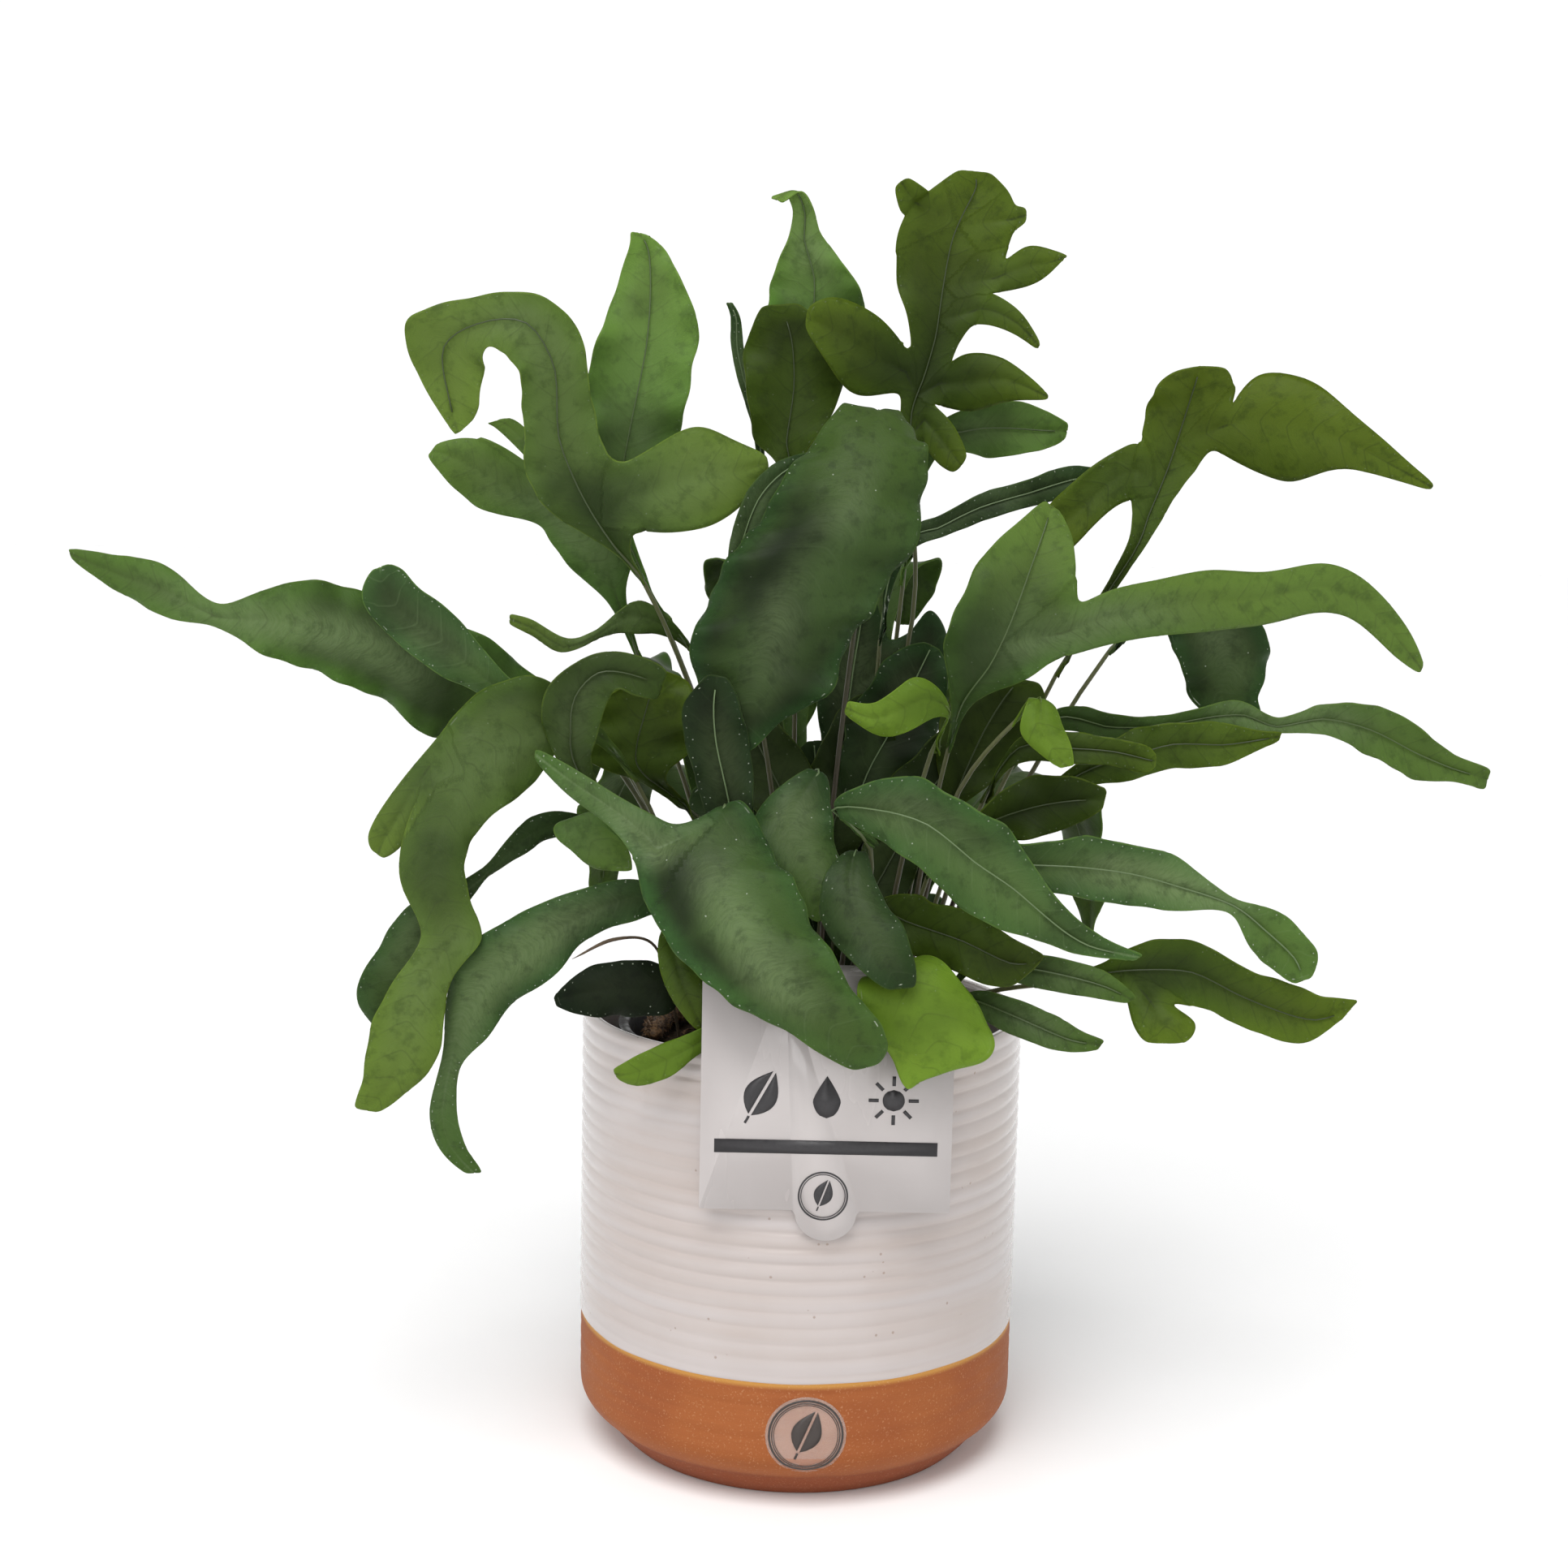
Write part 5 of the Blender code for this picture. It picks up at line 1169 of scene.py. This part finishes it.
class FERN_OT_rhizome(bpy.types.Operator):
    """Creeping stem covered in golden-brown scales, and the dried stalk beside it"""
    bl_idname = "fern.rhizome"
    bl_label = "Rhizome and dried stalk"

    def execute(self, context):
        rng = np.random.default_rng(5)
        route = [(-48, -14), (-48, 0), (-45, 14), (-38, 28), (-27, 38)]
        rest = SOIL_TOP + 4.8
        line = blend([(x, y, rest) for x, y in route], 10)
        ends = np.linspace(0, 1, len(line))
        radii = [3.7 * min(1, (4 * min(t, 1 - t)) ** 0.5 + 0.15) * (1 + 0.12 * math.sin(23 * t))
                 for t in ends]
        bm = bmesh.new()
        add_tube(bm, line, radii, 16)
        for _ in range(900):
            i = int(rng.integers(1, len(line) - 1))
            along = Vector(line[i + 1] - line[i - 1]).normalized()
            side = along.orthogonal().normalized()
            side.rotate(Matrix.Rotation(rng.uniform(0, 2 * math.pi), 3, along))
            if side.z < -0.5:
                continue
            root = Vector(line[i]) + side * radii[i] * 0.9
            lean = (side * 0.55 + along * rng.uniform(-1, 1) + Vector(rng.normal(0, 0.25, 3))).normalized()
            length = rng.uniform(0.9, 1.8)
            add_tube(bm, [root, root + lean * length * 0.5 + side * 0.12, root + lean * length],
                     [0.22, 0.16, 0.03], 3)
        recipe = Recipe("rhizome_scales", roughness=0.7)
        tone = recipe.noise(recipe.place(), 600.0, 2.0)
        colour = recipe.mix(recipe.rise(tone, 0.35, 0.65), (0.04, 0.02, 0.009), (0.19, 0.105, 0.045))
        piece = mesh_object("scaly_rhizome", bm,
                            [recipe.finish(colour, None, recipe.bump(tone, 0.0004, 0.7))], 40)
        stand_for(piece, "rhizome_scales", "rhizome")

        dry_route = [(-38, -24, SOIL_TOP), (-42, -38, 158), (-47, -50, 174), (-58, -60, 177),
                     (-70, -66, 172)]
        line = blend(dry_route, 8)
        bm = bmesh.new()
        ends = np.linspace(0, 1, len(line))
        radii = [0.55 * (1 - 0.55 * t) * (1 + 0.9 * math.exp(-((t - 0.8) / 0.12) ** 2))
                 * float(smooth(t, 1.02, 0.93)) + 0.04 for t in ends]
        add_tube(bm, line, radii, 8, squash=0.7)
        recipe = Recipe("dried_stalk", roughness=0.8)
        streak = recipe.noise(recipe.stretch(recipe.place(), (300.0, 900.0, 900.0)), 1.0, 3.0)
        colour = recipe.mix(streak, (0.03, 0.02, 0.012), (0.13, 0.09, 0.05))
        piece = mesh_object("dried_stalk", bm,
                            [recipe.finish(colour, None, recipe.bump(streak, 0.0003, 0.6))])
        stand_for(piece, "dried_stem", "dried_stem")
        return {"FINISHED"}


# ---- label and sticker ----
def add_ribbon(bm, pairs, place, closed=False):
    """A flat printed stroke between pairs of (x, z) points, laid on a surface by place."""
    rows = [[bm.verts.new(place(*first)), bm.verts.new(place(*second))] for first, second in pairs]
    if closed:
        rows.append(rows[0])
    for near, far in zip(rows, rows[1:]):
        bm.faces.new((near[0], near[1], far[1], far[0]))


def add_ring(bm, centre, radius, width, place, points=64):
    """A printed circle line."""
    pairs = []
    for step in range(points):
        angle = 2 * math.pi * step / points
        spoke = np.array([math.sin(angle), math.cos(angle)])
        pairs.append((centre + spoke * (radius - width), centre + spoke * radius))
    add_ribbon(bm, pairs, place, closed=True)


def add_leaf_mark(bm, centre, size, lean, place):
    """A plain leaf outline in two halves with a clear rib between, and its stalk."""
    turn = np.array([[math.cos(lean), math.sin(lean)], [-math.sin(lean), math.cos(lean)]])
    stations = np.linspace(0.0, 1.0, 13)
    for way in (-1, 1):
        pairs = []
        for share in stations:
            half = 0.3 * size * math.sin(math.pi * share ** 0.85) + 0.035 * size
            up = (share - 0.42) * size
            pairs.append((centre + turn @ np.array([way * 0.03 * size, up]),
                          centre + turn @ np.array([way * half, up])))
        add_ribbon(bm, pairs, place)
    stalk = [(centre + turn @ np.array([-0.025 * size, up * size]),
              centre + turn @ np.array([0.025 * size, up * size])) for up in (-0.62, -0.54, -0.46)]
    add_ribbon(bm, stalk, place)


def add_drop_mark(bm, centre, size, place):
    """A plain water drop."""
    pairs = []
    for share in np.linspace(0.0, 1.0, 17):
        round_part = math.sqrt(max(0.0, 1 - (2 * min(share, 0.5) / 1.0 - 1) ** 2))
        taper = 1 if share < 0.4 else 1 - ((share - 0.4) / 0.6) ** 1.25
        half = 0.33 * size * (round_part if share < 0.4 else 0.98 * taper)
        up = (share - 0.45) * size
        pairs.append((centre + np.array([-half - 0.01, up]), centre + np.array([half + 0.01, up])))
    add_ribbon(bm, pairs, place)


def add_sun_mark(bm, centre, size, place):
    """A plain sun: a disc with eight rays."""
    pairs = []
    for share in np.linspace(-1, 1, 13):
        half = 0.22 * size * math.sqrt(max(0.0, 1 - share * share)) + 0.01
        up = 0.22 * size * share
        pairs.append((centre + np.array([-half, up]), centre + np.array([half, up])))
    add_ribbon(bm, pairs, place)
    for step in range(8):
        angle = math.pi * step / 4
        spoke = np.array([math.sin(angle), math.cos(angle)])
        across = np.array([spoke[1], -spoke[0]]) * 0.035 * size
        add_ribbon(bm,
                   [(centre + spoke * size * reach - across, centre + spoke * size * reach + across)
                    for reach in (0.3, 0.5)], place)


def print_object(name, bm, depth, colour):
    """Printed strokes, given the thickness of a thick ink."""
    recipe = Recipe(f"{name}_ink", roughness=0.4)
    dusty = recipe.noise(recipe.place(), 900.0, 2.0)
    lighter = tuple(value + 0.02 for value in colour)
    ink = recipe.finish(recipe.mix(dusty, colour, lighter), recipe.rise(dusty, 0.2, 0.8, 0.3, 0.5))
    piece = mesh_object(name, bm, [ink])
    thicken(piece, "ink thickness", depth * MM)
    return piece


class FERN_OT_label(bpy.types.Operator):
    """Plastic card in front of the pot, hooked over its rim, with plain drawn marks"""
    bl_idname = "fern.label"
    bl_label = "Plant label"

    def execute(self, context):
        low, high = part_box("plant_label")
        left, right = low[0] / MM, high[0] / MM
        front = low[1] / MM
        top = high[2] / MM - 1.5
        bottom = POT_HEIGHT - LABEL_DROP
        tab_depth = bottom - low[2] / MM
        middle = (left + right) / 2
        tab_x = middle + TAB_OFFSET
        sheet_y = front + 0.4
        bm = bmesh.new()
        tab = [(tab_x - TAB_RADIUS - 0.8, bottom), (tab_x - TAB_RADIUS - 0.2, bottom - 0.7)]
        tab += [(tab_x + (TAB_RADIUS - 0.15) * math.sin(a), bottom - 0.6 - (tab_depth - 0.7) * math.cos(a))
                for a in np.linspace(-math.pi / 2 + 0.1, math.pi / 2 - 0.1, 25)]
        tab += [(tab_x + TAB_RADIUS + 0.2, bottom - 0.7), (tab_x + TAB_RADIUS + 0.8, bottom)]
        corner = [(left + 0.8 - 0.8 * math.sin(a), bottom + 0.8 - 0.8 * math.cos(a))
                  for a in np.linspace(math.pi / 2, 0, 5)]
        far_corner = [(right - 0.8 + 0.8 * math.sin(a), bottom + 0.8 - 0.8 * math.cos(a))
                      for a in np.linspace(0, math.pi / 2, 5)]
        leg_left, leg_right = middle - 13, middle + 13
        outline = [(left, top), *corner, *tab, *far_corner, (right, top), (leg_right, top), (leg_left, top)]
        card = [bm.verts.new(Vector((x, sheet_y, z)) * MM) for x, z in outline]
        bm.faces.new(card)
        leg_y = high[1] / MM - 0.4
        bend = blend([(sheet_y, top), (sheet_y + 0.22 * (leg_y - sheet_y), top + 1.0),
                      (sheet_y + 0.78 * (leg_y - sheet_y), top + 1.0), (leg_y, top)], 4)
        sections = [tuple(point) for point in bend[1:]] + [(leg_y, POT_HEIGHT - LABEL_LEG)]
        edge = [card[-1], card[-2]]
        for y, z in sections:
            row = [bm.verts.new(Vector((x, y, z)) * MM) for x in (leg_left, leg_right)]
            bm.faces.new((edge[0], edge[1], row[1], row[0]))
            edge = row
        recipe = Recipe("label_plastic", roughness=0.2, ior=1.5)
        recipe.shader.inputs["Coat Weight"].default_value = 0.3
        place = recipe.place()
        cloud = recipe.noise(place, 24.0, 2.0)
        colour = recipe.mix(recipe.rise(cloud, 0.35, 0.65), (0.5, 0.46, 0.45), (0.55, 0.51, 0.5))
        scuff = recipe.noise(recipe.stretch(place, (90.0, 90.0, 20.0)), 1.0, 3.0)
        material = recipe.finish(colour, recipe.rise(scuff, 0.3, 0.7, 0.14, 0.3),
                                 recipe.bump(scuff, 0.0002, 0.25))
        label = mesh_object("plant_label_card", bm, [material], 30)
        thicken(label, "card thickness", 0.6 * MM)
        stand_for(label, "label_plastic", "plant_label")

        def on_card(x, z):
            return Vector((x, sheet_y - 0.34, z)) * MM

        bm = bmesh.new()
        add_ribbon(bm, [((middle - 33.5, 115.6), (middle - 33.5, 119.8)),
                        ((middle + 33.5, 115.6), (middle + 33.5, 119.8))], on_card)
        add_leaf_mark(bm, np.array([middle - 20, 133.0]), 15.0, 0.5, on_card)
        add_drop_mark(bm, np.array([middle, 132.6]), 13.0, on_card)
        add_sun_mark(bm, np.array([middle + 20, 132.6]), 15.0, on_card)
        for radius, width in ((7.6, 0.5), (6.8, 0.25)):
            add_ring(bm, np.array([tab_x - 0.9, 102.6]), radius, width, on_card)
        add_leaf_mark(bm, np.array([tab_x - 0.9, 102.9]), 8.5, 0.35, on_card)
        marks = print_object("label_marks", bm, 0.1, (0.018, 0.016, 0.018))
        stand_for(marks, "label_plastic")
        return {"FINISHED"}


class FERN_OT_sticker(bpy.types.Operator):
    """Round clear film on the clay, with a plain leaf in a ring"""
    bl_idname = "fern.sticker"
    bl_label = "Round sticker"

    def execute(self, context):
        low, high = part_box("round_sticker")
        radius = (high[2] - low[2]) / 2 / MM
        centre = np.array([STICKER_X, (low[2] + high[2]) / 2 / MM])

        def on_pot(gap):
            def place(x, z):
                wrap = clay_radius(z) + gap
                return Vector((wrap * math.sin(x / POT_RADIUS), -wrap * math.cos(x / POT_RADIUS), z)) * MM
            return place

        bm = bmesh.new()
        on_clay = on_pot(0.16)
        inner = [bm.verts.new(on_clay(*centre))]
        for reach in np.linspace(0.1, 1, 10) * radius:
            ring = [bm.verts.new(on_clay(*(centre + reach * np.array([math.sin(a), math.cos(a)]))))
                    for a in np.linspace(0, 2 * math.pi, 72, endpoint=False)]
            join_rings(bm, inner, ring)
            inner = ring
        recipe = Recipe("clear_film", roughness=0.16, alpha=0.2)
        wrinkle = recipe.noise(recipe.place(), 90.0, 3.0)
        colour = recipe.mix(wrinkle, (0.6, 0.5, 0.44), (0.8, 0.7, 0.64))
        film = mesh_object("clear_sticker", bm,
                           [recipe.finish(colour, recipe.rise(wrinkle, 0.3, 0.7, 0.1, 0.28),
                                          recipe.bump(wrinkle, 0.0003, 0.3))])
        thicken(film, "film thickness", 0.12 * MM)
        stand_for(film, "clear_film", "round_sticker")
        bm = bmesh.new()
        on_film = on_pot(0.28)
        for reach, width in ((0.93, 0.65), (0.85, 0.3), (0.8, 0.22)):
            add_ring(bm, centre, reach * radius, width, on_film, 96)
        add_leaf_mark(bm, centre + np.array([0, 0.4]), radius * 1.1, 0.4, on_film)
        marks = print_object("sticker_marks", bm, 0.08, (0.03, 0.02, 0.016))
        stand_for(marks, "clear_film")
        return {"FINISHED"}


class FERN_OT_fronds(bpy.types.Operator):
    """Every frond: wavy blades with ribs, feathery bloom with painted sheen, white dots and painted light
    and shade, on thin stalks
    """
    bl_idname = "fern.fronds"
    bl_label = "Fronds"

    def execute(self, context):
        leaf = context.scene.fern_leaf
        finishes = {}
        for name, colours in LEAF_FINISHES.items():
            finishes[name] = leaf_material(name, colours)
            finishes[name + "_stalk"] = stalk_material(name, colours)
        for name, (finish, youth, brightness, stem, blade, *lobes) in FRONDS.items():
            build_frond(name, *frond_rows(stem, blade), lobes, (finish, youth, brightness), leaf, finishes)
        # The back fronds are painted a little into shade.
        for index in range(BACK_FRONDS):
            build_frond(f"back_{index + 1}", *back_rows(index), [], ("fresh", 0.3, 0.7), leaf, finishes)
        # The inner leaves are painted into shade.
        for index, inner_leaf in enumerate(INNER_LEAVES):
            build_frond(f"inner_{index + 1}", *inner_rows(*inner_leaf), [],
                        ("glaucous" if index % 2 else "moss", 0.0, 0.5), leaf, finishes, has_node=False)
        return {"FINISHED"}


# ---- studio ----
class FERN_OT_stage(bpy.types.Operator):
    """Pale floor, white surroundings, soft lights and the camera"""
    bl_idname = "fern.stage"
    bl_label = "Studio"

    def execute(self, context):
        stage = context.scene.fern_stage
        bm = bmesh.new()
        bmesh.ops.create_grid(bm, x_segments=1, y_segments=1, size=6.0)
        recipe = Recipe("studio_floor", roughness=0.9, specular_ior_level=0.1)
        recipe.shader.inputs["Base Color"].default_value = (*stage.floor_colour, 1.0)
        floor = mesh_object("studio_floor", bm, [recipe.material], face_outward=False)
        world = bpy.data.worlds.new("white_surroundings")
        world.use_nodes = True
        nodes, links = world.node_tree.nodes, world.node_tree.links
        sky = nodes["Background"]
        place = nodes.new("ShaderNodeTexCoord")
        parts = nodes.new("ShaderNodeSeparateXYZ")
        rise = nodes.new("ShaderNodeMapRange")
        rise.interpolation_type = "SMOOTHSTEP"
        for socket, value in zip(("From Min", "From Max", "To Min", "To Max"),
                                 (0.35, 0.75, stage.horizon, stage.zenith)):
            rise.inputs[socket].default_value = value
        links.new(place.outputs["Generated"], parts.inputs[0])
        links.new(parts.outputs["Z"], rise.inputs["Value"])
        links.new(rise.outputs["Result"], sky.inputs["Strength"])
        sky.inputs["Color"].default_value = (1.0, 1.0, 1.0, 1.0)
        context.scene.world = world
        sun = bpy.data.lights.new("overhead_light", "SUN")
        sun.energy = stage.sun_strength
        sun.angle = math.radians(36)
        key = bpy.data.lights.new("key_light", "AREA")
        key.size = 0.9
        key.energy = stage.key_power
        for light, place in ((sun, (-0.12, -0.6, 1.4)), (key, (-0.35, -1.1, 0.9))):
            lamp = linked(light.name, light)
            lamp.location = place
            aim = Vector((0, 0, 0.2)) - lamp.location
            lamp.rotation_euler = aim.to_track_quat("-Z", "Y").to_euler()
        lens = bpy.data.cameras.new("camera")
        lens.lens = stage.lens
        lens.sensor_width = 36.0
        camera = linked("camera", lens)
        tilt = Matrix.Rotation(math.pi / 2 - stage.camera_tilt, 4, "X")
        roll = Matrix.Rotation(stage.camera_roll, 4, "Z")
        camera.matrix_world = Matrix.Translation(stage.camera_place) @ tilt @ roll
        context.scene.camera = camera
        context.scene.view_settings.view_transform = "Standard"
        return {"FINISHED"}


class FERN_PT_sidebar(bpy.types.Panel):
    """Lists the settings and the steps that build the fern"""
    bl_idname = "FERN_PT_sidebar"
    bl_label = "Potted Fern"
    bl_space_type = "VIEW_3D"
    bl_region_type = "UI"
    bl_category = "Fern"

    def draw(self, context):
        for group in (context.scene.fern_pot, context.scene.fern_leaf, context.scene.fern_stage):
            box = self.layout.box()
            for name in group.bl_rna.properties.keys():
                if name not in {"rna_type", "name"}:
                    box.prop(group, name)
        for step in STEPS:
            self.layout.operator(step.bl_idname)


SETTINGS = (FernPotSettings, FernLeafSettings, FernStageSettings)
STEPS = (FERN_OT_cover_pot, FERN_OT_nursery_pot, FERN_OT_soil, FERN_OT_rhizome, FERN_OT_label,
         FERN_OT_sticker, FERN_OT_fronds, FERN_OT_stage)


def register():
    for part in (*SETTINGS, *STEPS, FERN_PT_sidebar):
        bpy.utils.register_class(part)
    bpy.types.Scene.fern_pot = PointerProperty(type=FernPotSettings)
    bpy.types.Scene.fern_leaf = PointerProperty(type=FernLeafSettings)
    bpy.types.Scene.fern_stage = PointerProperty(type=FernStageSettings)


def unregister():
    for name in ("fern_pot", "fern_leaf", "fern_stage"):
        delattr(bpy.types.Scene, name)
    for part in reversed((*SETTINGS, *STEPS, FERN_PT_sidebar)):
        bpy.utils.unregister_class(part)


def main():
    register()
    for step in STEPS:
        group, call = step.bl_idname.split(".")
        getattr(getattr(bpy.ops, group), call)()


if __name__ == "__main__":
    main()
